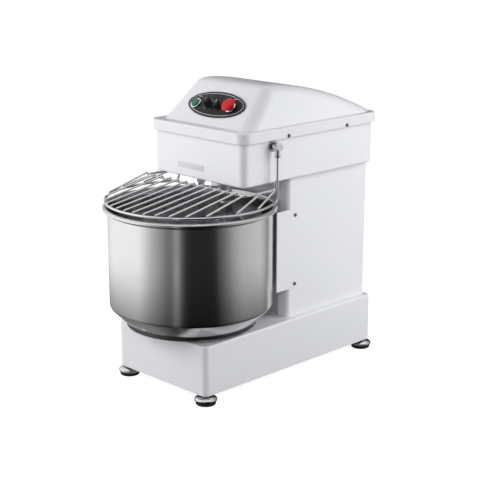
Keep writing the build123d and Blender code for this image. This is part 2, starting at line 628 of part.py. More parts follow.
def breaker_bar():
    bottom = BOWL_FLOOR + BOWL_WALL + 14
    post = rod(0, BREAKER_Y, bottom, COLUMN_TOP, BREAKER_R)
    post = fillet(post.edges().group_by(Axis.Z)[0], 3)
    post += rod(0, BREAKER_Y, COLUMN_TOP, HEAD_FLOOR + 20, BREAKER_THREAD_R)
    return post + rod(0, BREAKER_Y, COLUMN_TOP - 8, COLUMN_TOP, BREAKER_R + 3)


def breaker_bar_nuts():
    """A washer and a hexagon nut on the bar's thread, inside the head."""
    washer = pipe(0, BREAKER_Y, HEAD_FLOOR, HEAD_FLOOR + 2, BREAKER_THREAD_R + 4, BREAKER_THREAD_R)
    nut = Pos(0, BREAKER_Y, HEAD_FLOOR + 2) * extrude(RegularPolygon(BREAKER_THREAD_R + 4, 6), 10)
    return [washer, nut - rod(0, BREAKER_Y, HEAD_FLOOR + 1, HEAD_FLOOR + 13, BREAKER_THREAD_R)]


# ---------------------------------------------------------------- bearings and housings
def housing(x, y, face, height, radius, seat_r, up):
    """A flanged bearing housing on a plate face, standing up or hanging down, bored for two bearings."""
    sign = 1 if up else -1
    z0, z1 = sorted((face, face + sign * 8))
    body = rod(x, y, z0, z1, radius)
    z0, z1 = sorted((face, face + sign * height))
    body += rod(x, y, z0, z1, seat_r + 6)
    return body - rod(x, y, z0 - 1, z1 + 1, seat_r)


def bearing(x, y, z, shaft_r, width=BEARING_W):
    ring = pipe(x, y, z, z + width, shaft_r + BEARING_T, shaft_r + RUN_GAP)
    return ring - pipe(x, y, z - 1, z + 1, shaft_r + 6.5, shaft_r + 3) \
        - pipe(x, y, z + width - 1, z + width + 1, shaft_r + 6.5, shaft_r + 3)


UNDER = BASE_TOP - SHEET - 0.5      # underside of the base top


def hook_bearing_housing():
    body = housing(0, HOOK_Y, HEAD_FLOOR, 68, HOUSING_R, HOOK_SHAFT_R + BEARING_T, True)
    return drill(body, HOOK_BOLTS, HEAD_FLOOR - 1, HEAD_FLOOR + 9, 4)


def bowl_bearing_housing():
    body = housing(0, BOWL_Y, UNDER, 58, HOUSING_R, SHAFT_R + BEARING_T, False)
    body -= rod(0, BOWL_Y, UNDER - 5, UNDER + 1, BOWL_HUB_R)
    return drill(body, BOWL_BOLTS, UNDER - 9, UNDER + 1, 4)


def bearing_housings():
    """The upper and lower main shaft housings and the jack shaft housing."""
    seat = SHAFT_R + BEARING_T
    upper = housing(0, MAIN_Y, HEAD_FLOOR, 24, SMALL_HOUSING_R, seat, True)
    lower = housing(0, MAIN_Y, BASE_TOP, 24, SMALL_HOUSING_R, seat, True)
    jack = housing(JACK_X, JACK_Y, UNDER, 38, SMALL_HOUSING_R, seat, False)
    return [drill(upper, MAIN_BOLTS, HEAD_FLOOR - 1, HEAD_FLOOR + 9, 3),
            drill(lower, MAIN_BOLTS, BASE_TOP - 1, BASE_TOP + 9, 3),
            drill(jack, JACK_BOLTS, UNDER - 9, UNDER + 1, 3)]


def ball_bearings():
    rings = [bearing(0, HOOK_Y, HEAD_FLOOR + 4, HOOK_SHAFT_R), bearing(0, HOOK_Y, HEAD_FLOOR + 56, HOOK_SHAFT_R)]
    rings += [bearing(0, BOWL_Y, UNDER - 20, SHAFT_R), bearing(0, BOWL_Y, UNDER - 58, SHAFT_R)]
    rings += [bearing(0, MAIN_Y, HEAD_FLOOR + 10, SHAFT_R), bearing(0, MAIN_Y, BASE_TOP + 10, SHAFT_R)]
    rings += [bearing(JACK_X, JACK_Y, UNDER - 14, SHAFT_R), bearing(JACK_X, JACK_Y, UNDER - 38, SHAFT_R)]
    return rings


def housing_bolts():
    bolts = [hex_bolt(x, y, HEAD_FLOOR + 8, 8, 14) for x, y in HOOK_BOLTS]
    bolts += [hex_bolt(x, y, HEAD_FLOOR + 8, 8, 18) for x, y in MOTOR_BOLTS]
    bolts += [hex_bolt(x, y, UNDER - 8, 8, 8, flip=True) for x, y in BOWL_BOLTS]
    bolts += [hex_bolt(x, y, HEAD_FLOOR + 8, 6, 14) for x, y in MAIN_BOLTS]
    bolts += [hex_bolt(x, y, BASE_TOP + 8, 6, 14) for x, y in MAIN_BOLTS]
    bolts += [hex_bolt(x, y, UNDER - 8, 6, 10.4, flip=True) for x, y in JACK_BOLTS]
    return bolts


# ---------------------------------------------------------------- shafts, pulleys and motor
def main_shaft():
    shaft = rod(0, MAIN_Y, JACK_BIG_Z - 12, HOOK_CHAIN_Z + 12, SHAFT_R)
    return shaft + rod(0, MAIN_Y, HEAD_FLOOR + 24.5, HEAD_FLOOR + 30, SHAFT_R + 3)


def grooved_pulley(y, radius, bore):
    """A V-belt pulley with one groove, its web thinned when there is room."""
    z0, z1 = PULLEY_Z - 10, PULLEY_Z + 10
    half = BELT_W / 2 + SEAT_GAP
    deep = BELT_T + 1
    wheel = rod(0, y, z0, z1, radius + 1)
    groove = turned(0, y, [(radius - deep, PULLEY_Z - half + 2.4), (radius + 3, PULLEY_Z - half),
                           (radius + 3, PULLEY_Z + half), (radius - deep, PULLEY_Z + half - 2.4)])
    wheel -= groove
    if radius > 60:
        wheel -= pipe(0, y, z0 - 1, z0 + 6, radius - 16, 28) + pipe(0, y, z1 - 6, z1 + 1, radius - 16, 28)
        wheel = drill(wheel, ring_places(0, y, (radius + 12) / 2, 6), z0 - 1, z1 + 1, 13)
    return wheel - rod(0, y, z0 - 5, z1 + 5, bore)


def v_belt():
    z0 = PULLEY_Z - BELT_W / 2 + 2.4
    inner = BELT_T + 0.5
    return loop_band((0, MAIN_Y), DRIVEN_PULLEY_R, (0, MOTOR_Y), MOTOR_PULLEY_R, inner, -0.5,
                     z0, z0 + BELT_W - 4.8)


def motor_body():
    """A finned frame with its two end shields, bored for the rotor shaft."""
    top = HEAD_FLOOR
    low = top - MOTOR_L
    body = rod(0, MOTOR_Y, low, top, MOTOR_R - 8)
    body += rod(0, MOTOR_Y, top - 14, top, MOTOR_R) + rod(0, MOTOR_Y, low, low + 14, MOTOR_R)
    fins = 28
    for k in range(fins):
        fin = box((MOTOR_R - 10, MOTOR_R), (-1.5, 1.5), (low + 14, top - 14))
        body += Pos(0, MOTOR_Y, 0) * Rot(0, 0, 360 * k / fins) * fin
    body += box((-32, 32), (MOTOR_Y - MOTOR_R - 22, MOTOR_Y - MOTOR_R + 14), (low + 90, low + 160))
    body -= rod(0, MOTOR_Y, low - 1, top + 1, MOTOR_SHAFT_R + 8)
    seal = pipe(0, MOTOR_Y, top - 14, top, MOTOR_SHAFT_R + 8, MOTOR_SHAFT_R + RUN_GAP)
    return body + seal + pipe(0, MOTOR_Y, low, low + 14, MOTOR_SHAFT_R + 8, MOTOR_SHAFT_R + RUN_GAP)


def motor_plate():
    half = MOTOR_R + 24
    plate = box((-half, half), (MOTOR_Y - half + 14, HEAD_BACK - SHEET - 1), (HEAD_FLOOR, HEAD_FLOOR + 8))
    plate -= rod(0, MOTOR_Y, HEAD_FLOOR - 1, HEAD_FLOOR + 9, MOTOR_SHAFT_R + 4)
    return drill(plate, MOTOR_BOLTS, HEAD_FLOOR - 1, HEAD_FLOOR + 9, 4)


def motor_fan_cover():
    top = HEAD_FLOOR - MOTOR_L
    cup = rod(0, MOTOR_Y, top - 34, top, MOTOR_R - 3)
    cup = fillet(cup.edges().group_by(Axis.Z)[0], 4)
    cup -= rod(0, MOTOR_Y, top - 32, top + 1, MOTOR_R - 5)
    for ring in (20, 36, 52):
        cup = drill(cup, ring_places(0, MOTOR_Y, ring, int(ring / 2.6), 0), top - 40, top - 28, 4)
    return cup


def motor_shaft():
    low = HEAD_FLOOR - MOTOR_L
    shaft = rod(0, MOTOR_Y, low - 24, PULLEY_Z + 12, MOTOR_SHAFT_R)
    fan = rod(0, MOTOR_Y, low - 24, low - 6, 22)
    for k in range(8):
        blade = box((15, MOTOR_R - 12), (-1.2, 1.2), (low - 24, low - 8))
        fan += Pos(0, MOTOR_Y, 0) * Rot(0, 0, 45 * k) * blade
    return shaft + fan


# ---------------------------------------------------------------- electrics
def electrical_box():
    return fillet(box((COLUMN_W / 2 - SHEET - 46, COLUMN_W / 2 - SHEET),
                      (COLUMN_FRONT + 60, COLUMN_FRONT + 170),
                      (BASE_TOP + 120, BASE_TOP + 250)).edges().filter_by(Axis.X), 5)


def safety_switch():
    """The guard's interlock switch on the head wall, under the pivot cam."""
    x1 = HEAD_W / 2 - SHEET
    return box((x1 - 18, x1), (PIVOT_Y - 12, PIVOT_Y + 12), (PIVOT_Z - 58, PIVOT_Z - 17))


# ---------------------------------------------------------------- guard
def guard_ring():
    """The ring round the bowl mouth; its ends bend up and become the two arms."""
    bend = 15.0
    ring = Pos(0, BOWL_Y, GUARD_Z) * Torus(GUARD_R, GUARD_WIRE_R)
    ring -= box((-2 * GUARD_R, 2 * GUARD_R), (ARM_Y, ARM_Y + 2 * GUARD_R), (GUARD_Z - 10, GUARD_Z + 10))
    for side in (-1, 1):
        x = side * ARM_X
        corners = [(x, ARM_Y, GUARD_Z), (x, PIVOT_Y - 3, GUARD_Z + 4), (x, PIVOT_Y, GUARD_Z + bend)]
        for start, end in zip(corners, corners[1:] + [(x, PIVOT_Y, PIVOT_Z)]):
            ring += bar(start, end, GUARD_WIRE_R) + Pos(*start) * Sphere(GUARD_WIRE_R)
    return ring


def guard_frame():
    """The raised inner frame: a back wire before the head and a side wire to each arm."""
    back = bar((-ARM_X, BACK_WIRE_Y, FRAME_Z), (ARM_X, BACK_WIRE_Y, FRAME_Z), GUARD_WIRE_R)
    end_y = PIVOT_Y - 2 * GUARD_WIRE_R + 0.4
    for side in (-1, 1):
        back += bar((side * ARM_X, BACK_WIRE_Y, FRAME_Z), (side * ARM_X, end_y, FRAME_Z), GUARD_WIRE_R)
        back += Pos(side * ARM_X, BACK_WIRE_Y, FRAME_Z) * Sphere(GUARD_WIRE_R)
    return back


def seat_lift(run, wire):
    """How far over a wire's middle a crossing wire's middle lies when the two just touch."""
    across = run.cross(wire)
    return (GUARD_WIRE_R + CROSS_WIRE_R) * across.length / abs(across.Z)


def guard_wires():
    """Cross wires from the ring up to the back wire, and two wing wires each side."""
    wires = []
    for k in range(CROSS_WIRES):
        x = ARM_X * (2 * k / (CROSS_WIRES - 1) - 1)
        front_y = BOWL_Y - sqrt(GUARD_R**2 - x**2)
        run = Vector(0, BACK_WIRE_Y - front_y, GUARD_STEP)
        lift = seat_lift(run, Vector(BOWL_Y - front_y, x, 0))
        end = (x, BACK_WIRE_Y, FRAME_Z + seat_lift(run, Vector(1, 0, 0)))
        wires.append(bar((x, front_y, GUARD_Z + lift), end, CROSS_WIRE_R))
    for side in (-1, 1):
        for ring_y, side_y in ((BOWL_Y - 41, BACK_WIRE_Y + 43), (BOWL_Y + 27, PIVOT_Y - 14)):
            x = sqrt(GUARD_R**2 - (ring_y - BOWL_Y) ** 2)
            end = (side * (ARM_X + GUARD_WIRE_R + CROSS_WIRE_R), side_y, FRAME_Z)
            run = Vector(*end) - Vector(side * x, ring_y, GUARD_Z)
            lift = seat_lift(run, Vector(BOWL_Y - ring_y, side * x, 0))
            wires.append(bar((side * x, ring_y, GUARD_Z + lift), end, CROSS_WIRE_R))
    return wires


def guard_bosses():
    """The cross bosses that clamp the arms at the pivots."""
    made = []
    for side in (-1, 1):
        x0, x1 = side * (HEAD_W / 2 + 7.5), side * (ARM_X + 10)
        boss = rod_x(PIVOT_Y, PIVOT_Z, x0, x1, 9)
        boss += rod(side * ARM_X, PIVOT_Y, PIVOT_Z - 26, PIVOT_Z, 6)
        boss += rod(side * ARM_X, PIVOT_Y, PIVOT_Z - 26, PIVOT_Z - 20, 8)
        hole = rod(side * ARM_X, PIVOT_Y, PIVOT_Z - 40, PIVOT_Z + 1, GUARD_WIRE_R)
        made.append(boss - hole - rod_x(PIVOT_Y, PIVOT_Z, x0, side * PIN_END, PIVOT_PIN_R))
    return made


def guard_pins():
    """The pivot pins through the head walls; the right one carries the interlock cam."""
    made = []
    for side in (-1, 1):
        x0, x1 = side * (HEAD_W / 2 - 22), side * PIN_END
        pin = rod_x(PIVOT_Y, PIVOT_Z, x0, x1, PIVOT_PIN_R)
        if side == 1:
            cam = rod_x(PIVOT_Y, PIVOT_Z, x0, x0 + 10, 13)
            pin += cam - box((x0 - 1, x0 + 11), (PIVOT_Y + 7, PIVOT_Y + 20), (PIVOT_Z - 20, PIVOT_Z + 20))
        else:
            pin += rod_x(PIVOT_Y, PIVOT_Z, x0, x0 - 4, 8)
        made.append(pin)
    return made


# ---------------------------------------------------------------- write every piece
def main():
    os.makedirs("parts", exist_ok=True)
    studs, cups, pads = feet()
    gland, gland_nut = cable_gland()
    hub = SPROCKET_T / 2
    main_xy, jack_xy = (0, MAIN_Y), (JACK_X, JACK_Y)
    bowl_xy, hook_xy = (0, BOWL_Y), (0, HOOK_Y)
    pieces = {
        "base_housing": base_housing(),
        "base_bottom_plate": base_bottom_plate(),
        "foot_studs": Compound(children=studs),
        "foot_cups": Compound(children=cups),
        "foot_pads": Compound(children=pads),
        "column_housing": column_housing(),
        "rear_cover": rear_cover(),
        "bowl_back_shield": bowl_back_shield(),
        "cable_gland": Compound(children=[gland, gland_nut]),
        "head_housing": head_housing(),
        "lid": lid(),
        "lid_spacers": Compound(children=lid_spacers()),
        "cover_screws": Compound(children=cover_screws()),
        "nameplate": nameplate(),
        "pivot_flanges": Compound(children=pivot_flanges()),
        "control_panel": control_panel(),
        "panel_rim": panel_rim(),
        "switch_bodies": Compound(children=switch_bodies()),
        "start_bezel": collar(*START, 14.5, 10.8, 3.5),
        "estop_collar": collar(*ESTOP, 15, 9.5, 5),
        "start_button": start_button(),
        "timer_knob": knob(TIMER, 11, 20, 5),
        "selector_knob": knob(SELECTOR, 10, 14, 4),
        "estop_button": estop_button(),
        "bowl": bowl(),
        "turntable": turntable(),
        "bowl_shaft": bowl_shaft(),
        "bowl_bolts": Compound(children=bowl_bolts()),
        "bowl_sprocket": sprocket(*bowl_xy, JACK_SMALL_Z, BOWL_TEETH, SHAFT_R, 24, hub_down=6),
        "spiral_hook": spiral_hook(),
        "hook_sprocket": sprocket(*hook_xy, HOOK_CHAIN_Z, HOOK_TEETH, HOOK_SHAFT_R, 26, hub_up=6),
        "breaker_bar": breaker_bar(),
        "breaker_bar_nuts": Compound(children=breaker_bar_nuts()),
        "hook_bearing_housing": hook_bearing_housing(),
        "bowl_bearing_housing": bowl_bearing_housing(),
        "bearing_housings": Compound(children=bearing_housings()),
        "ball_bearings": Compound(children=ball_bearings()),
        "housing_bolts": Compound(children=housing_bolts()),
        "main_shaft": main_shaft(),
        "driven_pulley": grooved_pulley(MAIN_Y, DRIVEN_PULLEY_R, SHAFT_R),
        "main_sprockets": Compound(children=[
            sprocket(*main_xy, HOOK_CHAIN_Z, MAIN_TOP_TEETH, SHAFT_R, 22, hub_up=5),
            sprocket(*main_xy, JACK_BIG_Z, MAIN_LOW_TEETH, SHAFT_R, 17, hub_down=5)]),
        "jack_shaft": rod(*jack_xy, JACK_SMALL_Z - 12, UNDER - 1, SHAFT_R),
        "jack_sprockets": Compound(children=[
            sprocket(*jack_xy, JACK_BIG_Z, JACK_BIG_TEETH, SHAFT_R, 22, hub_down=5),
            sprocket(*jack_xy, JACK_SMALL_Z, JACK_SMALL_TEETH, SHAFT_R, 17, hub_down=5)]),
        "motor_shaft": motor_shaft(),
        "motor_pulley": grooved_pulley(MOTOR_Y, MOTOR_PULLEY_R, MOTOR_SHAFT_R),
        "motor_body": motor_body(),
        "motor_plate": motor_plate(),
        "motor_fan_cover": motor_fan_cover(),
        "v_belt": v_belt(),
        "hook_chain": chain(hook_xy, HOOK_TEETH, main_xy, MAIN_TOP_TEETH, HOOK_CHAIN_Z),
        "jack_chain": chain(main_xy, MAIN_LOW_TEETH, jack_xy, JACK_BIG_TEETH, JACK_BIG_Z),
        "bowl_chain": chain(jack_xy, JACK_SMALL_TEETH, bowl_xy, BOWL_TEETH, JACK_SMALL_Z),
        "electrical_box": electrical_box(),
        "safety_switch": safety_switch(),
        "guard_ring": guard_ring(),
        "guard_frame": guard_frame(),
        "guard_wires": Compound(children=guard_wires()),
        "guard_bosses": Compound(children=guard_bosses()),
        "guard_pins": Compound(children=guard_pins()),
    }
    for name, shape in pieces.items():
        save(name, shape)
    print("pieces written:", len(pieces))


main()
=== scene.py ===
"""Looks of a spiral dough mixer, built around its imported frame.

Lengths are in metres, in the frame's own axes: X to the machine's right, Y to its back, Z up.
"""
from __future__ import annotations

import json
import logging
from dataclasses import dataclass, field, replace
from enum import Enum
from math import asin, cos, pi, radians, sin, sqrt, tan

import bmesh
import bpy
from mathutils import Matrix, Vector

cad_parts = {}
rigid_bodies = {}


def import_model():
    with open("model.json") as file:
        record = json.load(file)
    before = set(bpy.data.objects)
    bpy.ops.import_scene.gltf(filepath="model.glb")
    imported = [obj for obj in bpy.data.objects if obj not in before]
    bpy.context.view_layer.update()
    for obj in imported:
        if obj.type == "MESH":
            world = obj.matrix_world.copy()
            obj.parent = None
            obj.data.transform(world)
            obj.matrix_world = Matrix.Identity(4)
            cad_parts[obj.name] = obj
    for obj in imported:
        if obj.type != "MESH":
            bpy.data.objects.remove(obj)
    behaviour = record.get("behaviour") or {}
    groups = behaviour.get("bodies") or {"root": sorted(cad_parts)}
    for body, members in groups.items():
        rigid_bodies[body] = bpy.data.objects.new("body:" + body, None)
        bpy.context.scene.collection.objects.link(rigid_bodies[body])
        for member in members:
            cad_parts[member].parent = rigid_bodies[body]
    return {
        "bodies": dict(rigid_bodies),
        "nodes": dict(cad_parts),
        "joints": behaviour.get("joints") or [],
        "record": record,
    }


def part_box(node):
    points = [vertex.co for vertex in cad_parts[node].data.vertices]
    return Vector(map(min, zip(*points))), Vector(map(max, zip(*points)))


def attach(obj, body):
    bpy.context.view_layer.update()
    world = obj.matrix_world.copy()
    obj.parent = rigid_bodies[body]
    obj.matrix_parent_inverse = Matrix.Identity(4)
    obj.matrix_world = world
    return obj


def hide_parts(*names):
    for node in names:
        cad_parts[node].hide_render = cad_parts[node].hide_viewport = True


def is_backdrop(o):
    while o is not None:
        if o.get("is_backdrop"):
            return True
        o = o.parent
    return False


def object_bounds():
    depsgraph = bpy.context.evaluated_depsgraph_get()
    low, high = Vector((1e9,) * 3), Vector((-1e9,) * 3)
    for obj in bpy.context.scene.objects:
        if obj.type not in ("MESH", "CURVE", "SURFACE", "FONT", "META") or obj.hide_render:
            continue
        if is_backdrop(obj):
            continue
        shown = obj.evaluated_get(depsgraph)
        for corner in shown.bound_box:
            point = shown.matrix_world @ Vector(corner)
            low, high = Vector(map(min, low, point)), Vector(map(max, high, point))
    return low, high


LOG = logging.getLogger("mixer")
MM = 0.001
TAU = 2 * pi

Colour = tuple[float, float, float]
Point2 = tuple[float, float]
Piece = bpy.types.Object


# -------- shader maths
class Shade:
    """A shader socket that takes part in Python expressions."""

    def __init__(self, graph: Graph, socket: bpy.types.NodeSocket) -> None:
        """Wraps an output socket of a graph."""
        self.graph = graph
        self.socket = socket

    def _math(self, operation: str, first: Value, second: Value) -> Shade:
        """Adds one Math node and returns its result."""
        return self.graph.node("Math", {"operation": operation}, {0: first, 1: second})

    def __add__(self, other: Value) -> Shade:
        """self + other."""
        return self._math("ADD", self, other)

    __radd__ = __add__

    def __sub__(self, other: Value) -> Shade:
        """self - other."""
        return self._math("SUBTRACT", self, other)

    def __rsub__(self, other: Value) -> Shade:
        """other - self."""
        return self._math("SUBTRACT", other, self)

    def __mul__(self, other: Value) -> Shade:
        """self * other."""
        return self._math("MULTIPLY", self, other)

    __rmul__ = __mul__

    def above(self, limit: float) -> Shade:
        """1 where the value is over the limit, else 0."""
        return self._math("GREATER_THAN", self, limit)

    def part(self, name: str) -> Shade:
        """Another output of the node that this value comes from."""
        return Shade(self.graph, self.socket.node.outputs[name])


Value = Shade | float | tuple


class Graph:
    """A node tree that grows from calls."""

    def __init__(self, tree: bpy.types.NodeTree) -> None:
        """Wraps a material's or world's node tree."""
        self.tree = tree

    def node(self, kind: str, settings: dict | None = None, sockets: dict | None = None) -> Shade:
        """Adds a node.

        Args:
            kind: the node's type, without its "ShaderNode".
            settings: properties set first; "stops" fills a colour ramp.
            sockets: values or links of input sockets, by name or index.

        Returns:
            The node's first output.
        """
        made = self.tree.nodes.new("ShaderNode" + kind)
        for key, value in (settings or {}).items():
            if key == "stops":
                self._fill_ramp(made.color_ramp, value)
            else:
                setattr(made, key, value)
        for key, value in (sockets or {}).items():
            if isinstance(value, Shade):
                self.tree.links.new(value.socket, made.inputs[key])
            else:
                made.inputs[key].default_value = value
        return Shade(self, made.outputs[0]) if made.outputs else Shade(self, made.inputs[0])

    @staticmethod
    def _fill_ramp(ramp: bpy.types.ColorRamp, stops: list) -> None:
        """Puts (position, grey or colour) stops on a ramp."""
        while len(ramp.elements) < len(stops):
            ramp.elements.new(1.0)
        for element, (place, colour) in zip(ramp.elements, stops):
            element.position = place
            shade = (colour,) * 3 if isinstance(colour, float) else colour
            element.color = (*shade, 1.0)

    def place(self) -> Shade:
        """The object coordinates, in metres in the frame's axes."""
        return self.node("TexCoord").part("Object")

    def noise(self, where: Shade, scale: float, detail: float = 3.0, rough: float = 0.5) -> Shade:
        """A noise value from 0 to 1 at a place."""
        return self.node("TexNoise", None,
                         {"Vector": where, "Scale": scale, "Detail": detail, "Roughness": rough})

    def stretch(self, where: Shade, factors: Colour) -> Shade:
        """A place multiplied by three factors."""
        return self.node("VectorMath", {"operation": "MULTIPLY"}, {0: where, 1: factors})

    def ramp(self, value: Shade, stops: list) -> Shade:
        """A value through a colour ramp."""
        return self.node("ValToRGB", {"stops": stops}, {"Fac": value})

    def mix(self, amount: Value, first: Value, second: Value) -> Shade:
        """A blend of two colours."""
        made = self.node("Mix", {"data_type": "RGBA"}, {0: amount, 6: first, 7: second})
        return Shade(self, made.socket.node.outputs[2])

    def bump(self, height: Shade, depth: float) -> Shade:
        """A bumped normal from a height, its depth in metres."""
        return self.node("Bump", None, {"Height": height, "Distance": depth})

    def split(self, where: Shade) -> Shade:
        """A place's X, with its Y and Z as other parts."""
        return self.node("SeparateXYZ", None, {0: where})

    def angle(self, across: Shade, back: Shade) -> Shade:
        """The angle of a place seen from above."""
        return self.node("Math", {"operation": "ARCTAN2"}, {0: back, 1: across})

    def length(self, across: Shade, back: Shade) -> Shade:
        """How far a place lies from the upright axis."""
        flat = self.node("CombineXYZ", None, {0: across, 1: back})
        return self.node("VectorMath", {"operation": "LENGTH"}, {0: flat}).part("Value")

    def remap(self, value: Shade, source: Point2, target: Point2, curve: str = "LINEAR") -> Shade:
        """A value moved from one range to another and held inside it."""
        return self.node("MapRange", {"interpolation_type": curve},
                         {0: value, 1: source[0], 2: source[1], 3: target[0], 4: target[1]})


def empty_graph(owner: bpy.types.Material | bpy.types.World) -> Graph:
    """A material's or world's node tree, cleared."""
    owner.use_nodes = True
    owner.node_tree.nodes.clear()
    return Graph(owner.node_tree)


def rgba(colour: Colour, gain: float = 1.0) -> tuple[float, float, float, float]:
    """A colour with full alpha, made lighter or darker by a gain."""
    return (*(min(1.0, c * gain) for c in colour), 1.0)


# -------- finishes
class Grain(Enum):
    """Which way a brushed surface's lines run."""

    ROUND = "round the bowl's axis"
    ALONG_X = "along X"
    ALONG_Z = "along Z"


@dataclass(frozen=True)
class Finish:
    """What every finish has."""

    name: str
    colour: Colour
    roughness: float

    def material(self) -> bpy.types.Material:
        """The finish as a material, made once."""
        found = bpy.data.materials.get(self.name)
        if found:
            return found
        made = bpy.data.materials.new(self.name)
        graph = empty_graph(made)
        shader = graph.node("BsdfPrincipled", None, self.sockets(graph))
        graph.node("OutputMaterial", None, {"Surface": shader})
        made.diffuse_color = rgba(self.colour)
        return made

    def sockets(self, graph: Graph) -> dict:
        """The shader's sockets; each finish gives its own."""
        raise NotImplementedError


@dataclass(frozen=True)
class PowderCoat(Finish):
    """Smooth gloss powder coat on sheet: a faint orange peel and faint unevenness."""

    peel: float = 0.000035
    peel_scale: float = 420.0
    coat: float = 0.35

    def sockets(self, graph: Graph) -> dict:
        """Paint sockets."""
        where = graph.place()
        cloud = graph.noise(where, 5.0, 4.0)
        speck = graph.noise(where, 1600.0, 1.0)
        peel = graph.noise(where, self.peel_scale, 1.5)
        tone = graph.mix(cloud, rgba(self.colour, 0.975), rgba(self.colour, 1.02))
        return {
            "Base Color": graph.mix(speck.above(0.79) * 0.08, tone, rgba(self.colour, 0.8)),
            "Roughness": self.roughness + (cloud - 0.5) * 0.10,
            "Coat Weight": self.coat,
            "Coat Roughness": 0.12,
            "Normal": graph.bump(peel, self.peel),
        }


@dataclass(frozen=True)
class BrushedSteel(Finish):
    """Stainless or bare steel with fine parallel lines."""

    grain: Grain = Grain.ALONG_X
    axis: Point2 = (0.0, 0.0)
    depth: float = 0.00001
    streak: float = 0.12

    def lines(self, graph: Graph) -> Shade:
        """Coordinates stretched so that noise draws lines along the grain."""
        where = graph.place()
        if self.grain is Grain.ALONG_X:
            return graph.stretch(where, (9.0, 1300.0, 1300.0))
        if self.grain is Grain.ALONG_Z:
            return graph.stretch(where, (1300.0, 1300.0, 9.0))
        parts = graph.split(where)
        across = parts - self.axis[0]
        back = parts.part("Y") - self.axis[1]
        return graph.node("CombineXYZ", None,
                          {0: graph.angle(across, back) * 2.2, 1: graph.length(across, back) * 900.0,
                           2: parts.part("Z") * 900.0})

    def sockets(self, graph: Graph) -> dict:
        """Brushed steel sockets."""
        lines = self.lines(graph)
        fine = graph.noise(lines, 1.0, 3.0, 0.6)
        broad = graph.noise(graph.stretch(lines, (0.5, 0.12, 0.12)), 1.0, 2.0)
        smudge = graph.noise(graph.place(), 14.0, 3.0)
        mark = fine * 0.6 + broad * 0.4
        dark = rgba(self.colour, 1.0 - self.streak)
        return {
            "Base Color": graph.mix(mark, dark, rgba(self.colour, 1.0 + self.streak)),
            "Metallic": 1.0,
            "Roughness": self.roughness + (fine - 0.5) * 0.12 + (smudge - 0.5) * 0.08,
            "Normal": graph.bump(fine, self.depth),
        }


@dataclass(frozen=True)
class Polished(Finish):
    """Chrome or polished steel: hazed in patches, with hairline polishing marks."""

    def sockets(self, graph: Graph) -> dict:
        """Polished metal sockets."""
        where = graph.place()
        haze = graph.noise(where, 60.0, 3.0)
        hair = graph.noise(graph.stretch(where, (300.0, 2200.0, 900.0)), 1.0, 2.0)
        return {
            "Base Color": graph.mix(haze, rgba(self.colour, 0.93), rgba(self.colour, 1.03)),
            "Metallic": 1.0,
            "Roughness": self.roughness + (haze - 0.5) * 0.07 + hair * 0.02,
            "Normal": graph.bump(hair, 0.0000015),
        }


@dataclass(frozen=True)
class Moulded(Finish):
    """Moulded plastic or rubber: a fine grain, with lighter rubbed spots."""

    grain_scale: float = 1500.0
    grain_depth: float = 0.00003
    coat: float = 0.0
    shine: float = 0.5

    def sockets(self, graph: Graph) -> dict:
        """Plastic sockets."""
        where = graph.place()
        grain = graph.noise(where, self.grain_scale, 2.0)
        rub = graph.noise(where, 90.0, 4.0)
        lighter = tuple(c * 0.9 + 0.004 for c in self.colour)
        return {
            "Base Color": graph.mix(rub * 0.5, rgba(self.colour), rgba(lighter)),
            "Roughness": self.roughness + (rub - 0.5) * 0.12,
            "Coat Weight": self.coat,
            "Coat Roughness": 0.08,
            "Specular IOR Level": self.shine,
            "Normal": graph.bump(grain, self.grain_depth),
        }


@dataclass(frozen=True)
class Casting(Finish):
    """Grey iron with a sandy skin."""

    def sockets(self, graph: Graph) -> dict:
        """Casting sockets."""
        where = graph.place()
        sand = graph.noise(where, 700.0, 4.0, 0.65)
        patch = graph.noise(where, 35.0, 3.0)
        return {
            "Base Color": graph.mix(patch, rgba(self.colour, 0.7), rgba(self.colour, 1.25)),
            "Metallic": 0.6,
            "Roughness": self.roughness + (sand - 0.5) * 0.25,
            "Normal": graph.bump(sand, 0.00025),
        }


WHITE_PAINT = PowderCoat("white_powder_coat", (0.80, 0.805, 0.83), 0.34)
# Painted shade: the lid's white is a darker copy of the body paint, toning down its brightly lit top.
LID_SHADED_PAINT = PowderCoat("lid_white_painted_shade", (0.76, 0.765, 0.795), 0.32, peel=0.00002, coat=0.2)
BOWL_STEEL = BrushedSteel("bowl_brushed_stainless", (0.76, 0.76, 0.77), 0.19, Grain.ROUND,
                          depth=0.000012, streak=0.07)
CHROME = Polished("wire_chrome", (0.86, 0.86, 0.87), 0.07)
FOOT_STEEL = Polished("foot_polished_steel", (0.80, 0.80, 0.81), 0.14)
HOOK_STEEL = Polished("hook_polished_steel", (0.68, 0.68, 0.69), 0.20)
SCREW_STEEL = BrushedSteel("screw_steel", (0.24, 0.24, 0.25), 0.34, Grain.ALONG_X, streak=0.2)
BARE_STEEL = BrushedSteel("turned_steel", (0.52, 0.52, 0.53), 0.28, Grain.ALONG_Z)
DARK_STEEL = BrushedSteel("oiled_dark_steel", (0.16, 0.16, 0.17), 0.36, Grain.ALONG_X, streak=0.3)
ZINC = BrushedSteel("zinc_plate", (0.62, 0.63, 0.66), 0.34, Grain.ALONG_X, streak=0.1)
BLANK_PLATE = BrushedSteel("blank_plate_satin", (0.74, 0.74, 0.75), 0.36, Grain.ALONG_X)
IRON = Casting("grey_iron_skin", (0.22, 0.23, 0.24), 0.55)
MOTOR_PAINT = PowderCoat("motor_enamel", (0.16, 0.20, 0.24), 0.42, peel=0.0001, peel_scale=200.0,
                         coat=0.1)
RUBBER = Moulded("foot_rubber", (0.018, 0.018, 0.019), 0.72, 500.0, 0.0001)
BELT_RUBBER = Moulded("belt_rubber", (0.02, 0.02, 0.02), 0.66, 900.0, 0.0001)
BLACK_GLOSS = Moulded("panel_gloss_black", (0.012, 0.012, 0.013), 0.22, 2600.0, 0.000008, coat=0.1,
                      shine=0.15)
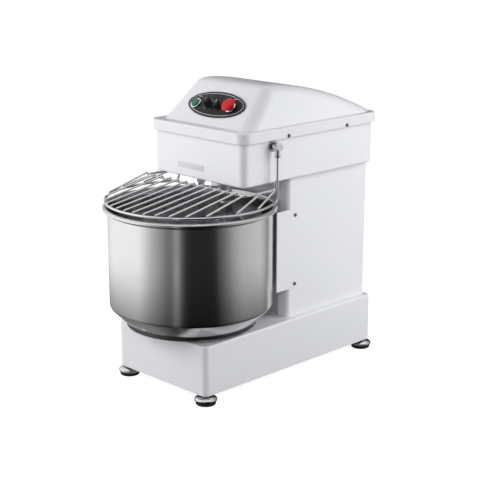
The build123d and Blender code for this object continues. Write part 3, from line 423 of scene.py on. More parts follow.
BLACK_PLASTIC = Moulded("knob_black_plastic", (0.014, 0.014, 0.015), 0.38, 1800.0, 0.00004, shine=0.3)
RED_PLASTIC = Moulded("estop_red_plastic", (0.55, 0.010, 0.012), 0.36, 2200.0, 0.00001, coat=0.05,
                      shine=0.3)
GREEN_LENS = Moulded("start_green_lens", (0.004, 0.17, 0.09), 0.20, 2400.0, 0.000008, coat=0.25,
                     shine=0.4)
GREY_PLASTIC = Moulded("grey_plastic", (0.42, 0.43, 0.44), 0.45)
PRINT_WHITE = Moulded("panel_print", (0.75, 0.76, 0.78), 0.5)
PRINT_SILVER = Moulded("panel_silver_line", (0.66, 0.66, 0.68), 0.35)


# -------- meshes
SHARP_ANGLE = radians(38)


def new_piece(name: str, verts: list, faces: list, finish: Finish) -> Piece:
    """Makes a piece from vertices and faces.

    Args:
        name: the piece's name.
        verts: points in metres.
        faces: vertex indices of each face.
        finish: its surface.

    Returns:
        The new object, in the scene.
    """
    mesh = bpy.data.meshes.new(name)
    mesh.from_pydata([tuple(v) for v in verts], [], faces)
    mesh.validate()
    work = bmesh.new()
    work.from_mesh(mesh)
    bmesh.ops.remove_doubles(work, verts=work.verts, dist=1e-7)
    bmesh.ops.recalc_face_normals(work, faces=work.faces)
    work.to_mesh(mesh)
    work.free()
    mesh.shade_smooth()
    mesh.set_sharp_from_angle(angle=SHARP_ANGLE)
    mesh.materials.append(finish.material())
    piece = bpy.data.objects.new(name, mesh)
    bpy.context.scene.collection.objects.link(piece)
    return piece


def join(name: str, parts: list[Piece]) -> Piece:
    """Joins pieces into one object, keeping each one's finish."""
    joined = parts[0]
    with bpy.context.temp_override(active_object=joined, selected_editable_objects=parts,
                                   selected_objects=parts, object=joined):
        bpy.ops.object.join()
    joined.name = name
    joined.data.name = name
    return joined


def bend_path(corners: list[Vector], radius: float, steps: int = 10, share: float = 0.48) -> list[Vector]:
    """A path through corners, each one rounded by a smooth bend.

    Args:
        corners: the path's corners.
        radius: the rounding.
        steps: pieces in each bend.
        share: the most that a bend takes of the runs beside it.

    Returns:
        The rounded path.
    """
    made = [corners[0]]
    for before, at, after in zip(corners, corners[1:], corners[2:]):
        a, b = before - at, after - at
        cut = min(radius, share * a.length, share * b.length)
        start, end = at + a.normalized() * cut, at + b.normalized() * cut
        for k in range(steps + 1):
            t = k / steps
            made.append(start * (1 - t) ** 2 + at * (2 * t * (1 - t)) + end * t**2)
    made.append(corners[-1])
    return made


def round_corners(points: list[Point2], radius: float, steps: int = 5) -> list[Point2]:
    """Rounds each inner corner of an open line in a plane."""
    bends = bend_path([Vector(p) for p in points], radius, steps, 0.45)[1:-1]
    return [points[0], *((spot.x, spot.y) for spot in bends), points[-1]]


def strip(low: int, high: int, count: int) -> list[tuple]:
    """Faces between two rings of vertices, from the first index of each."""
    return [(low + k, low + (k + 1) % count, high + (k + 1) % count, high + k) for k in range(count)]


def skin(rows: int, count: int) -> list[tuple]:
    """Faces over a stack of rings, closed at both ends."""
    faces = [face for row in range(rows - 1) for face in strip(row * count, (row + 1) * count, count)]
    return [*faces, tuple(reversed(range(count))), tuple(range((rows - 1) * count, rows * count))]


def lathe(name: str, outline: list[Point2], finish: Finish, frame: Matrix, segments: int = 96,
          lobes: tuple[int, float] | None = None, closed: bool = False) -> Piece:
    """Turns an outline about the frame's Z axis.

    Args:
        name: the piece's name.
        outline: (radius, height) points; a radius of 0 closes an end.
        finish: its surface.
        frame: where the axis stands.
        segments: steps round the axis.
        lobes: count and depth of flutes, as a share of the radius.
        closed: whether the outline's end meets its start.

    Returns:
        The turned piece.
    """
    verts, rings = [], []
    for radius, height in outline:
        if radius < 1e-6:
            rings.append([len(verts)])
            verts.append(frame @ Vector((0, 0, height)))
            continue
        ring = []
        for k in range(segments):
            turn = TAU * k / segments
            flute = lobes[1] * (0.5 + 0.5 * cos(lobes[0] * turn)) if lobes else 0.0
            reach = radius * (1 - flute)
            ring.append(len(verts))
            verts.append(frame @ Vector((reach * cos(turn), reach * sin(turn), height)))
        rings.append(ring)
    faces = []
    for low, high in zip(rings, rings[1:] + rings[:1] if closed else rings[1:]):
        for k in range(segments):
            after = (k + 1) % segments
            if len(low) > 1 and len(high) > 1:
                faces.append((low[k], low[after], high[after], high[k]))
            elif len(high) > 1:
                faces.append((low[0], high[after], high[k]))
            elif len(low) > 1:
                faces.append((low[k], low[after], high[0]))
    return new_piece(name, verts, faces, finish)


def tube(name: str, path: list[Vector], radius: float | list[float], finish: Finish,
         sides: int = 16) -> Piece:
    """Sweeps a round section along a path, with domed ends.

    Args:
        name: the piece's name.
        path: points of the middle line.
        radius: one radius, or one for each point.
        finish: its surface.
        sides: steps round the section.

    Returns:
        The swept piece.
    """
    radii = radius if isinstance(radius, list) else [radius] * len(path)
    heads = [(path[1] - path[0]).normalized()]
    for before, after in zip(path, path[2:]):
        heads.append((after - before).normalized())
    heads.append((path[-1] - path[-2]).normalized())
    side = heads[0].orthogonal().normalized()
    stations = []
    for spot, head, reach in zip(path, heads, radii):
        side = (side - head * side.dot(head)).normalized()
        stations.append((spot, side.copy(), head.cross(side), reach))
    domes = (0.35, 0.75, 0.95)

    def dome(station: tuple, out: Vector, share: float) -> tuple:
        """A smaller station past an end."""
        spot, across, up, reach = station
        return spot + out * reach * cos(asin(share)) * 0.7, across, up, reach * share

    rows = [*(dome(stations[0], -heads[0], d) for d in domes), *stations,
            *(dome(stations[-1], heads[-1], d) for d in reversed(domes))]
    verts = []
    for spot, across, up, reach in rows:
        for k in range(sides):
            turn = TAU * k / sides
            verts.append(spot + (across * cos(turn) + up * sin(turn)) * reach)
    return new_piece(name, verts, skin(len(rows), sides), finish)


def sheet_piece(name: str, outline: list[Point2], thickness: float, edge: float, finish: Finish,
                frame: Matrix) -> Piece:
    """A flat piece with a rounded front edge, standing on the frame's XY plane.

    Args:
        name: the piece's name.
        outline: its closed outline, counter-clockwise.
        thickness: its height over the plane.
        edge: rounding of its front edge.
        finish: its surface.
        frame: where the plane lies.

    Returns:
        The new piece.
    """
    centre = sum((Vector(p) for p in outline), Vector((0, 0))) / len(outline)
    layers = [(0.0, 0.0), (0.0, thickness - edge), (0.3 * edge, thickness - 0.3 * edge), (edge, thickness)]
    verts = []
    for inset, height in layers:
        for point in outline:
            away = Vector(point) - centre
            spot = centre + away * max(0.0, 1 - inset / max(away.length, 1e-9))
            verts.append(frame @ Vector((spot.x, spot.y, height)))
    return new_piece(name, verts, skin(len(layers), len(outline)), finish)


def ellipse(width: float, height: float, steps: int = 96) -> list[Point2]:
    """Points round an ellipse."""
    return [(width / 2 * cos(TAU * k / steps), height / 2 * sin(TAU * k / steps))
            for k in range(steps)]


def rectangle(width: float, height: float) -> list[Point2]:
    """Corners of a rectangle round the middle."""
    x, y = width / 2, height / 2
    return [(-x, -y), (x, -y), (x, y), (-x, y)]


def band(name: str, outer: list[Point2], inner: list[Point2], low: float, high: float, finish: Finish,
         frame: Matrix) -> Piece:
    """A raised band between two outlines.

    Args:
        name: the piece's name.
        outer: its outer outline.
        inner: its inner outline, with as many points.
        low: where it starts along the frame's Z.
        high: where it ends.
        finish: its surface.
        frame: where the plane lies.

    Returns:
        The new piece.
    """
    count = len(outer)
    rows = ((outer, low), (outer, high), (inner, high), (inner, low))
    verts = [frame @ Vector((x, y, z)) for line, z in rows for x, y in line]
    faces = [face for row in range(4) for face in strip(row * count, (row + 1) % 4 * count, count)]
    return new_piece(name, verts, faces, finish)


# -------- shared helpers
@dataclass
class Frame:
    """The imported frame, with short ways to ask it for places."""

    loaded: dict

    def node(self, name: str) -> Piece:
        """A CAD node's object."""
        return self.loaded["nodes"][name]

    def _row(self, name: str) -> dict:
        """A joint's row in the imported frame."""
        return next(row for row in self.loaded["joints"] if row["name"] == name)

    def joint(self, name: str) -> Vector:
        """The place of a hinge."""
        return Vector(self._row(name)["pos_m"])

    def direction(self, name: str) -> Vector:
        """The axis of a joint."""
        return Vector(self._row(name)["axis"])

    def dress(self, finish: Finish, *names: str) -> None:
        """Gives CAD nodes a finish."""
        for name in names:
            mesh = self.node(name).data
            mesh.materials.clear()
            mesh.materials.append(finish.material())
            LOG.info("dressed %s with %s", name, finish.name)


def put(piece: Piece, body: str, slot: str, *replaced: str) -> None:
    """Parents a piece to its body and hides the CAD nodes that it stands for.

    Args:
        piece: the finished piece.
        body: the body that carries it.
        slot: not used.
        replaced: CAD nodes that it stands for.
    """
    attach(piece, body)
    if replaced:
        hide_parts(*replaced)
    LOG.info("piece %s on %s, for %s", piece.name, body, ", ".join(replaced) or "nothing")


def upright(x: float, y: float, z: float = 0.0) -> Matrix:
    """A frame that stands upright at a place."""
    return Matrix.Translation((x, y, z))


# -------- sub-assemblies
@dataclass
class Cabinet:
    """Base, column, head, lid, shield and covers."""

    frame: Frame

    def build(self) -> None:
        """Dresses the housings."""
        self.frame.dress(WHITE_PAINT, "base_housing", "column_housing", "head_housing", "rear_cover",
                         "bowl_back_shield")
        # The lid gets the darker copy of the white paint: painted shade on its lit top.
        self.frame.dress(LID_SHADED_PAINT, "lid")
        self.frame.dress(ZINC, "base_bottom_plate", "lid_spacers")
        self.frame.dress(BLANK_PLATE, "nameplate")
        self.frame.dress(SCREW_STEEL, "cover_screws")
        self.frame.dress(BLACK_PLASTIC, "cable_gland")
        self.frame.dress(BARE_STEEL, "pivot_flanges")


@dataclass
class Feet:
    """Four levelling feet: rubber pad, polished cup and threaded stud."""

    frame: Frame
    pad_height: float = 9 * MM
    neck: float = 12 * MM
    thread: float = 6 * MM

    def places(self) -> list[Point2]:
        """The middle of each foot."""
        low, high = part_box("foot_cups")
        reach = self.cup_radius()
        return [(x, y) for x in (low.x + reach, high.x - reach) for y in (low.y + reach, high.y - reach)]

    def cup_radius(self) -> float:
        """A cup's radius: the feet stand out past the studs by it."""
        cups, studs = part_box("foot_cups"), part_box("foot_studs")
        return studs[0].x - cups[0].x + 11 * MM

    def build(self) -> None:
        """Builds pads and cups, and dresses the studs."""
        reach = self.cup_radius()
        low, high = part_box("foot_cups")
        cup = round_corners([(self.thread, low.z), (reach - 3 * MM, low.z), (reach, low.z + 2.5 * MM),
                             (reach - 0.4 * MM, low.z + 6 * MM), (reach - 5 * MM, low.z + 10.5 * MM),
                             (reach - 11 * MM, low.z + 13 * MM), (self.neck, low.z + 14 * MM),
                             (self.neck, high.z), (self.thread, high.z)], 2.2 * MM)
        edge = reach - 3.4 * MM
        pad = round_corners([(0.0, 0.0), (edge - 3 * MM, 0.0), (edge, 2 * MM), (edge, 4 * MM),
                             (edge - 0.8 * MM, 4.6 * MM), (edge, 5.2 * MM), (edge, self.pad_height),
                             (0.0, self.pad_height)], 1.2 * MM)
        cups = [lathe("cup", cup, FOOT_STEEL, upright(x, y), 72, closed=True) for x, y in self.places()]
        pads = [lathe("pad", pad, RUBBER, upright(x, y), 72) for x, y in self.places()]
        put(join("levelling_foot_cups", cups), "machine_frame", "polished_stainless", "foot_cups")
        put(join("levelling_foot_pads", pads), "machine_frame", "black_rubber", "foot_pads")
        self.frame.dress(ZINC, "foot_studs")


@dataclass
class Bowl:
    """Bowl with a rolled rim, on its turntable."""

    frame: Frame
    wall: float = 2 * MM
    bead: float = 6 * MM
    chamfer: float = 40 * MM

    def build(self) -> None:
        """Builds the bowl and turntable, and dresses what is under them."""
        low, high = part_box("bowl")
        axis = self.frame.joint("bowl_spin")
        out = (high.x - low.x) / 2 - 2 * self.bead
        rim_z = high.z - self.bead - 0.5 * MM
        stand = upright(axis.x, axis.y)
        foot = out - self.chamfer
        lift = low.z + self.chamfer
        outside = [(0.0, low.z), (foot, low.z), (out, lift), (out, rim_z - 9 * MM)]
        slant = self.wall * tan(radians(22.5))
        inside = [(out - self.wall, rim_z - 9 * MM), (out - self.wall, lift + slant),
                  (foot - slant, low.z + self.wall), (0.0, low.z + self.wall)]
        turns = [radians(a) for a in range(-150, 181, 15)]
        curl = [(out + self.bead + self.bead * cos(a), rim_z + self.bead * sin(a)) for a in turns]
        steel = replace(BOWL_STEEL, axis=(axis.x, axis.y))
        outer_wall = round_corners(outside, 5 * MM, 6)
        inner_wall = round_corners([curl[-1], *inside], 5 * MM, 6)
        piece = lathe("mixing_bowl", outer_wall + curl[2:] + inner_wall[1:], steel, stand, 192)
        put(piece, "bowl_group", "brushed_stainless", "bowl")
        self.turntable(stand)
        self.frame.dress(BARE_STEEL, "bowl_shaft")
        self.frame.dress(ZINC, "bowl_bolts")
        self.frame.dress(DARK_STEEL, "bowl_sprocket")

    def turntable(self, stand: Matrix) -> None:
        """A dark disc with a bright lower lip."""
        low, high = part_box("turntable")
        reach = (high.x - low.x) / 2
        hole, groove, split = 12.5 * MM, reach - 2 * MM, low.z + 2.2 * MM
        disc = round_corners([(hole, high.z), (reach, high.z), (reach, low.z + 3.4 * MM),
                              (groove, low.z + 3 * MM), (groove, split)], 0.6 * MM, 3)
        lip = round_corners([(groove, split), (reach - 0.2 * MM, low.z + 2 * MM),
                             (reach - 0.8 * MM, low.z), (hole, low.z), (hole, high.z)], 0.6 * MM, 3)
        parts = [lathe("disc", disc, DARK_STEEL, stand, 160), lathe("lip", lip, BARE_STEEL, stand, 160)]
        put(join("turntable_disc", parts), "bowl_group", "dark_steel", "turntable")


@dataclass
class Hook:
    """Spiral hook and breaker bar."""

    frame: Frame
    bar: float = 11 * MM
    shaft: float = 15 * MM
    boss: float = 17 * MM
    start_turn: float = 205.0

    def build(self) -> None:
        """Builds the hook, and dresses its drive and the breaker bar."""
        low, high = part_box("spiral_hook")
        axis = self.frame.joint("hook_spin")
        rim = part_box("bowl")[1].z
        reach = (high.x - low.x) / 2 - self.bar - 1 * MM
        top = rim - 40 * MM
        coil_top, coil_low = top - 38 * MM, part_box("bowl")[0].z + 48 * MM
        toe = low.z + self.bar
        path, radii = [], []
        steps = 120
        for k in range(steps + 1):
            t = k / steps
            turn = radians(self.start_turn) - TAU * (1.12 * t - 1.0)
            if t < 0.14:
                s = t / 0.14
                reach_now = reach * (3 * s**2 - 2 * s**3)
                height = top + (coil_top - top) * s**1.5
            elif t < 0.88:
                s = (t - 0.14) / 0.74
                reach_now = reach
                height = coil_top + (coil_low - coil_top) * s
            else:
                s = (t - 0.88) / 0.12
                reach_now = reach * (1 - 0.62 * s**1.4)
                height = coil_low + (toe - coil_low) * s
            path.append(Vector((axis.x + reach_now * cos(turn), axis.y + reach_now * sin(turn),
                                height)))
            radii.append(self.bar * (1.0 if t < 0.8 else 1.0 - 0.25 * (t - 0.8) / 0.2))
        spiral = tube("spiral", path, radii, HOOK_STEEL, 24)
        shaft = round_corners([(0.0, high.z), (self.shaft, high.z), (self.shaft, rim - 12 * MM),
                               (self.boss, rim - 16 * MM), (self.boss, top - 2 * MM),
                               (self.shaft, top - 12 * MM), (0.0, top - 13 * MM)], 2.5 * MM)
        stem = lathe("stem", shaft, HOOK_STEEL, upright(axis.x, axis.y), 64)
        put(join("spiral_hook_bar", [spiral, stem]), "hook_group", "polished_stainless", "spiral_hook")
        self.frame.dress(HOOK_STEEL, "breaker_bar")
        self.frame.dress(ZINC, "breaker_bar_nuts")
        self.frame.dress(DARK_STEEL, "hook_sprocket")


@dataclass
class Guard:
    """Hinged wire guard over the bowl."""

    frame: Frame
    wire: float = 3 * MM
    thin: float = 2.4 * MM
    crossings: int = 13
    sleeve: float = 22 * MM

    def build(self) -> None:
        """Builds ring, frame, cross wires and welds, and dresses the bosses."""
        low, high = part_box("guard_ring")
        pivot = self.frame.joint("guard_lift")
        bowl = self.frame.joint("bowl_spin")
        arm_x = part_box("guard_frame")[1].x - self.wire
        ring_r = high.x - self.wire
        ring_z = low.z + self.wire
        frame_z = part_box("guard_frame")[1].z - self.wire
        back_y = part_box("guard_frame")[0].y + self.wire
        self.ring(bowl, pivot, ring_r, ring_z, arm_x)
        self.inner_frame(pivot, frame_z, back_y, arm_x)
        self.crosses(bowl, pivot, (ring_r, ring_z), (back_y, frame_z), arm_x)
        self.frame.dress(CHROME, "guard_bosses")
        self.frame.dress(BARE_STEEL, "guard_pins")

    def ring(self, bowl: Vector, pivot: Vector, ring_r: float, ring_z: float, arm_x: float) -> None:
        """The ring, whose ends bend up into the arms."""
        start = asin(sqrt(ring_r**2 - arm_x**2) / ring_r)
        turns = [pi - start + (pi + 2 * start) * k / 120 for k in range(121)]
        arc = [bowl + Vector((ring_r * cos(a), ring_r * sin(a), ring_z - bowl.z)) for a in turns]
        left = [Vector((-arm_x, pivot.y, pivot.z)), Vector((-arm_x, pivot.y, ring_z))]
        right = [Vector((arm_x, pivot.y, ring_z)), Vector((arm_x, pivot.y, pivot.z))]
        lead = bend_path([left[0], left[1], arc[3]], 14 * MM)
        tail = bend_path([arc[-4], right[0], right[1]], 14 * MM)
        piece = tube("guard_ring_wire", lead[:-1] + arc[3:-3] + tail[1:], self.wire, CHROME, 20)
        put(piece, "guard_group", "chrome_wire", "guard_ring")

    def inner_frame(self, pivot: Vector, z: float, back_y: float, arm_x: float) -> None:
        """One bent wire: the back, two sides, and ends that run up along the arms."""
        end_y = pivot.y - 2 * self.wire - 0.1 * MM
        side = ((end_y, z + self.sleeve), (end_y, z), (back_y, z))
        half = [Vector((arm_x, y, height)) for y, height in side]
        corners = [Vector((-spot.x, spot.y, spot.z)) for spot in half] + half[::-1]
        piece = tube("guard_inner_wire", bend_path(corners, 7 * MM), self.wire, CHROME, 20)
        put(piece, "guard_group", "chrome_wire", "guard_frame")

    def straight(self, name: str, start: Vector, end: Vector) -> Piece:
        """A thin straight wire."""
        return tube(name, [start.lerp(end, t / 8) for t in range(9)], self.thin, CHROME, 12)

    def crosses(self, bowl: Vector, pivot: Vector, ring: Point2, back: Point2, arm_x: float) -> None:
        """Cross wires and wing wires, with a weld where each one meets another.

        Args:
            bowl: a place on the bowl's axis.
            pivot: a place on the guard's hinge.
            ring: the ring's radius and height.
            back: where the back wire lies, along Y and in height.
            arm_x: how far out the side wires lie.
        """
        (ring_r, ring_z), (back_y, frame_z) = ring, back
        seat = self.wire + self.thin
        parts, welds = [], []
        for k in range(self.crossings):
            x = arm_x * (2 * k / (self.crossings - 1) - 1)
            front = Vector((x, bowl.y - sqrt(ring_r**2 - x**2), ring_z + seat))
            end = Vector((x, back_y, frame_z + seat))
            parts.append(self.straight("cross", front, end))
            welds += [front - Vector((0, 0, self.thin)), end - Vector((0, 0, self.thin))]
        for side in (-1, 1):
            for ring_y, side_y in ((bowl.y - 41 * MM, back_y + 43 * MM),
                                   (bowl.y + 27 * MM, pivot.y - 14 * MM)):
                x = sqrt(ring_r**2 - (ring_y - bowl.y) ** 2)
                low = Vector((side * x, ring_y, ring_z + seat))
                top = Vector((side * (arm_x + seat), side_y, frame_z))
                parts.append(self.straight("wing", low, top))
                welds += [low - Vector((0, 0, self.thin)), top - Vector((side * self.thin, 0, 0))]
        bead = [(self.thin * 1.1 * sin(a), self.thin * 1.1 * cos(a) * 0.8)
                for a in (pi * k / 8 for k in range(9))]
        bead[0], bead[-1] = (0.0, bead[0][1]), (0.0, bead[-1][1])
        parts += [lathe("weld", bead, CHROME, Matrix.Translation(w), 12) for w in welds]
        put(join("guard_cross_wires", parts), "guard_group", "chrome_wire", "guard_wires")


@dataclass
class ControlPanel:
    """Oval panel with its push button, two knobs and emergency stop."""

    frame: Frame
    stem: float = 5.7 * MM
    rim: float = 4 * MM
    print_depth: float = 0.15 * MM

    def span(self, node: str, frame: Matrix) -> tuple[Vector, Vector]:
        """A CAD node's low and high corners in a frame's own axes."""
        back = frame.inverted()
        spots = [back @ v.co for v in self.frame.node(node).data.vertices]
        low, high = (Vector([pick(s[k] for s in spots) for k in range(3)]) for pick in (min, max))
        return low, high

    def seat(self, node: str) -> tuple[Matrix, float, float]:
        """A frame on the sloped face at a CAD node's middle.

        Args:
            node: the CAD node.

        Returns:
            The frame, with Z out of the face, and how far the node goes along Z, from low to high.
        """
        out = self.frame.direction("timer_turn").normalized()
        up = out.cross(Vector((1, 0, 0))).normalized()
        corner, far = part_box(node)
        turn = Matrix((Vector((1, 0, 0)), up, out)).transposed().to_4x4()
        frame = Matrix.Translation((corner + far) / 2) @ turn
        low, high = self.span(node, frame)
        frame = frame @ Matrix.Translation(((low.x + high.x) / 2, (low.y + high.y) / 2, 0))
        low, high = self.span(node, frame)
        return frame, low.z, high.z

    def size(self, node: str, frame: Matrix) -> Point2:
        """A CAD node's width and height in the frame's plane."""
        low, high = self.span(node, frame)
        return high.x - low.x, high.y - low.y

    def build(self) -> None:
        """Builds the panel and every control on it."""
        face, low, high = self.seat("control_panel")
        face = face @ Matrix.Translation((0, 0, low))
        self.plate(face, high - low)
        self.start()
        self.knobs()
        self.stop()
        self.frame.dress(BLACK_PLASTIC, "switch_bodies")

    def plate(self, face: Matrix, thick: float) -> None:
        """The oval plate, its outer rim, a silver line and printed marks."""
        wide, tall = self.size("panel_rim", face)
        inner = ellipse(wide - 2 * self.rim, tall - 2 * self.rim)
        plate = sheet_piece("oval_panel_plate", inner, thick, 0.5 * MM, BLACK_GLOSS, face)
        put(plate, "machine_frame", "black_plastic", "control_panel")
        rim = band("oval_panel_rim", ellipse(wide, tall), inner, 0.0, thick + 1 * MM, BLACK_PLASTIC, face)
        bevel = rim.modifiers.new("soft_edge", "BEVEL")
        bevel.width, bevel.segments = 0.9 * MM, 3
        put(rim, "machine_frame", "matte_black_plastic", "panel_rim")
        line = band("panel_silver_line", ellipse(wide - 9.6 * MM, tall - 9.6 * MM),
                    ellipse(wide - 12.2 * MM, tall - 12.2 * MM), thick - 0.1 * MM, thick + 0.12 * MM,
                    PRINT_SILVER, face)
        put(line, "machine_frame", "steel_plate")
        self.marks(face, thick)

    def marks(self, face: Matrix, thick: float) -> None:
        """Generic printed marks: bars over the controls and dial ticks round the knobs."""
        marks = []
        height = thick - 0.05 * MM

        def mark(width: float, tall: float, x: float, y: float, turn: float = 0.0, out: float = 0.0) -> None:
            """Prints one bar, turned about (x, y) and moved out from it."""
            place = Matrix.Translation((x, y, height)) @ Matrix.Rotation(turn, 4, "Z")
            place = place @ Matrix.Translation((out, 0, 0))
            bar = rectangle(width, tall)
            marks.append(sheet_piece("mark", bar, self.print_depth, 0.02 * MM, PRINT_WHITE, face @ place))

        inverse = face.inverted()
        for node, spread, count in (("timer_knob", 270, 11), ("selector_knob", 120, 3)):
            spot = inverse @ self.seat(node)[0].translation
            for k in range(count):
                turn = radians(90 + spread / 2 - spread * k / (count - 1))
                mark((2.6 if k % 5 == 0 else 1.6) * MM, 0.8 * MM, spot.x, spot.y, turn, 15 * MM)
        for node, rise in (("start_button", 22 * MM), ("estop_button", 26 * MM)):
            spot = inverse @ self.seat(node)[0].translation
            for k in (-1, 0, 1):
                mark(3 * MM, 1.4 * MM, spot.x + k * 4 * MM, spot.y + rise)
        put(join("panel_printed_marks", marks), "machine_frame", "grey_plastic")

    def start(self) -> None:
        """The green button in its bright bezel."""
        hole, outer = 10.9 * MM, 14.5 * MM
        seat, low, high = self.seat("start_bezel")
        bezel = round_corners([(hole, low), (outer, low), (outer, high - 1 * MM),
                               (12.6 * MM, high + 0.2 * MM), (hole, high - 0.8 * MM)], 0.8 * MM)
        put(lathe("start_bezel_ring", bezel, CHROME, seat, 64, closed=True), "machine_frame", "chrome_wire",
            "start_bezel")
        lens_r = 10.3 * MM
        seat, low, high = self.seat("start_button")
        lens = round_corners([(0.0, low), (self.stem, low), (self.stem, high - 6 * MM),
                              (lens_r, high - 6 * MM), (lens_r, high - 2.2 * MM),
                              (8.2 * MM, high - 0.6 * MM), (7.4 * MM, high - 0.9 * MM),
                              (0.0, high)], 0.9 * MM)
        put(lathe("start_button_lens", lens, GREEN_LENS, seat, 64), "start_button_body", "green_lens",
            "start_button")

    def knobs(self) -> None:
        """The timer's knob and the selector's."""
        self.knob("timer", 11 * MM)
        self.knob("selector", 10 * MM)

    def knob(self, name: str, radius: float) -> None:
        """A fluted knob with a raised grip bar and a pointer line."""
        node = f"{name}_knob"
        seat, low, high = self.seat(node)
        base = low + 14.4 * MM
        skirt = round_corners([(0.0, low), (self.stem, low), (self.stem, base), (radius, base),
                               (radius, base + 3 * MM), (radius * 0.86, base + 4 * MM),
                               (0.0, base + 4 * MM)], 0.8 * MM)
        body = round_corners([(0.0, base + 3.5 * MM), (radius * 0.84, base + 3.5 * MM),
                              (radius * 0.74, high - 1 * MM), (radius * 0.5, high), (0.0, high)], 1.2 * MM)
        bar = sheet_piece("grip", rectangle(4.8 * MM, radius * 1.86), high - base - 3.6 * MM, 0.8 * MM,
                          BLACK_PLASTIC, seat @ Matrix.Translation((0, 0, base + 3 * MM)))
        pointer = sheet_piece("pointer", rectangle(1.2 * MM, 6 * MM), 0.7 * MM, 0.1 * MM, PRINT_WHITE,
                              seat @ Matrix.Translation((0, radius * 0.5, high - 0.62 * MM)))
        parts = [lathe("skirt", skirt, BLACK_PLASTIC, seat, 64),
                 lathe("body", body, BLACK_PLASTIC, seat, 72, lobes=(18, 0.06)), bar, pointer]
        put(join(f"{name}_fluted_knob", parts), f"{name}_knob_body", "matte_black_plastic", node)

    def stop(self) -> None:
        """The mushroom button, its neck and its collar."""
        bore, outer = 9.6 * MM, 15 * MM
        seat, low, high = self.seat("estop_collar")
        ring = round_corners([(bore, low), (outer, low), (outer, high - 2 * MM), (12.5 * MM, high),
                              (bore, high)], 0.8 * MM)
        put(lathe("estop_collar_ring", ring, FOOT_STEEL, seat, 64, closed=True), "machine_frame",
            "grey_plastic", "estop_collar")
        seat, low, high = self.seat("estop_button")
        reach = self.size("estop_button", seat)[0] / 2
        neck_r, under = 9 * MM, high - 8 * MM
        neck = round_corners([(0.0, low), (self.stem, low), (self.stem, high - 13 * MM),
                              (neck_r, high - 13 * MM), (neck_r, under)], 0.5 * MM)
        cap = round_corners([(neck_r, under), (reach - 1 * MM, under), (reach, high - 6.6 * MM),
                             (reach - 0.7 * MM, high - 3.4 * MM), (reach * 0.74, high - 0.8 * MM),
                             (0.0, high)], 2.2 * MM)
        arrow_r, arrow_z = 11 * MM, high - 0.85 * MM
        arrows = []
        for k in range(3):
            turns = [TAU * k / 3 + radians(8 * step) for step in range(9)]
            path = [seat @ Vector((arrow_r * cos(a), arrow_r * sin(a), arrow_z)) for a in turns]
            arrows.append(tube("arrow", path, 0.5 * MM, RED_PLASTIC, 8))
        mushroom = lathe("cap", neck + cap[1:], RED_PLASTIC, seat, 96)
        put(join("emergency_stop_mushroom", [mushroom, *arrows]), "estop_body", "red_plastic",
            "estop_button")


@dataclass
class Drive:
    """Everything inside the cabinet that turns, carries or switches."""

    frame: Frame

    def build(self) -> None:
        """Dresses the drive and the electrics."""
        self.frame.dress(IRON, "hook_bearing_housing", "bowl_bearing_housing", "bearing_housings",
                         "driven_pulley", "motor_pulley")
        self.frame.dress(BARE_STEEL, "ball_bearings", "main_shaft", "jack_shaft", "motor_shaft")
        self.frame.dress(DARK_STEEL, "main_sprockets", "jack_sprockets", "hook_chain", "jack_chain",
                         "bowl_chain")
        self.frame.dress(ZINC, "housing_bolts", "motor_plate")
        self.frame.dress(MOTOR_PAINT, "motor_body", "motor_fan_cover")
        self.frame.dress(BELT_RUBBER, "v_belt")
        self.frame.dress(GREY_PLASTIC, "electrical_box")
        self.frame.dress(BLACK_PLASTIC, "safety_switch")


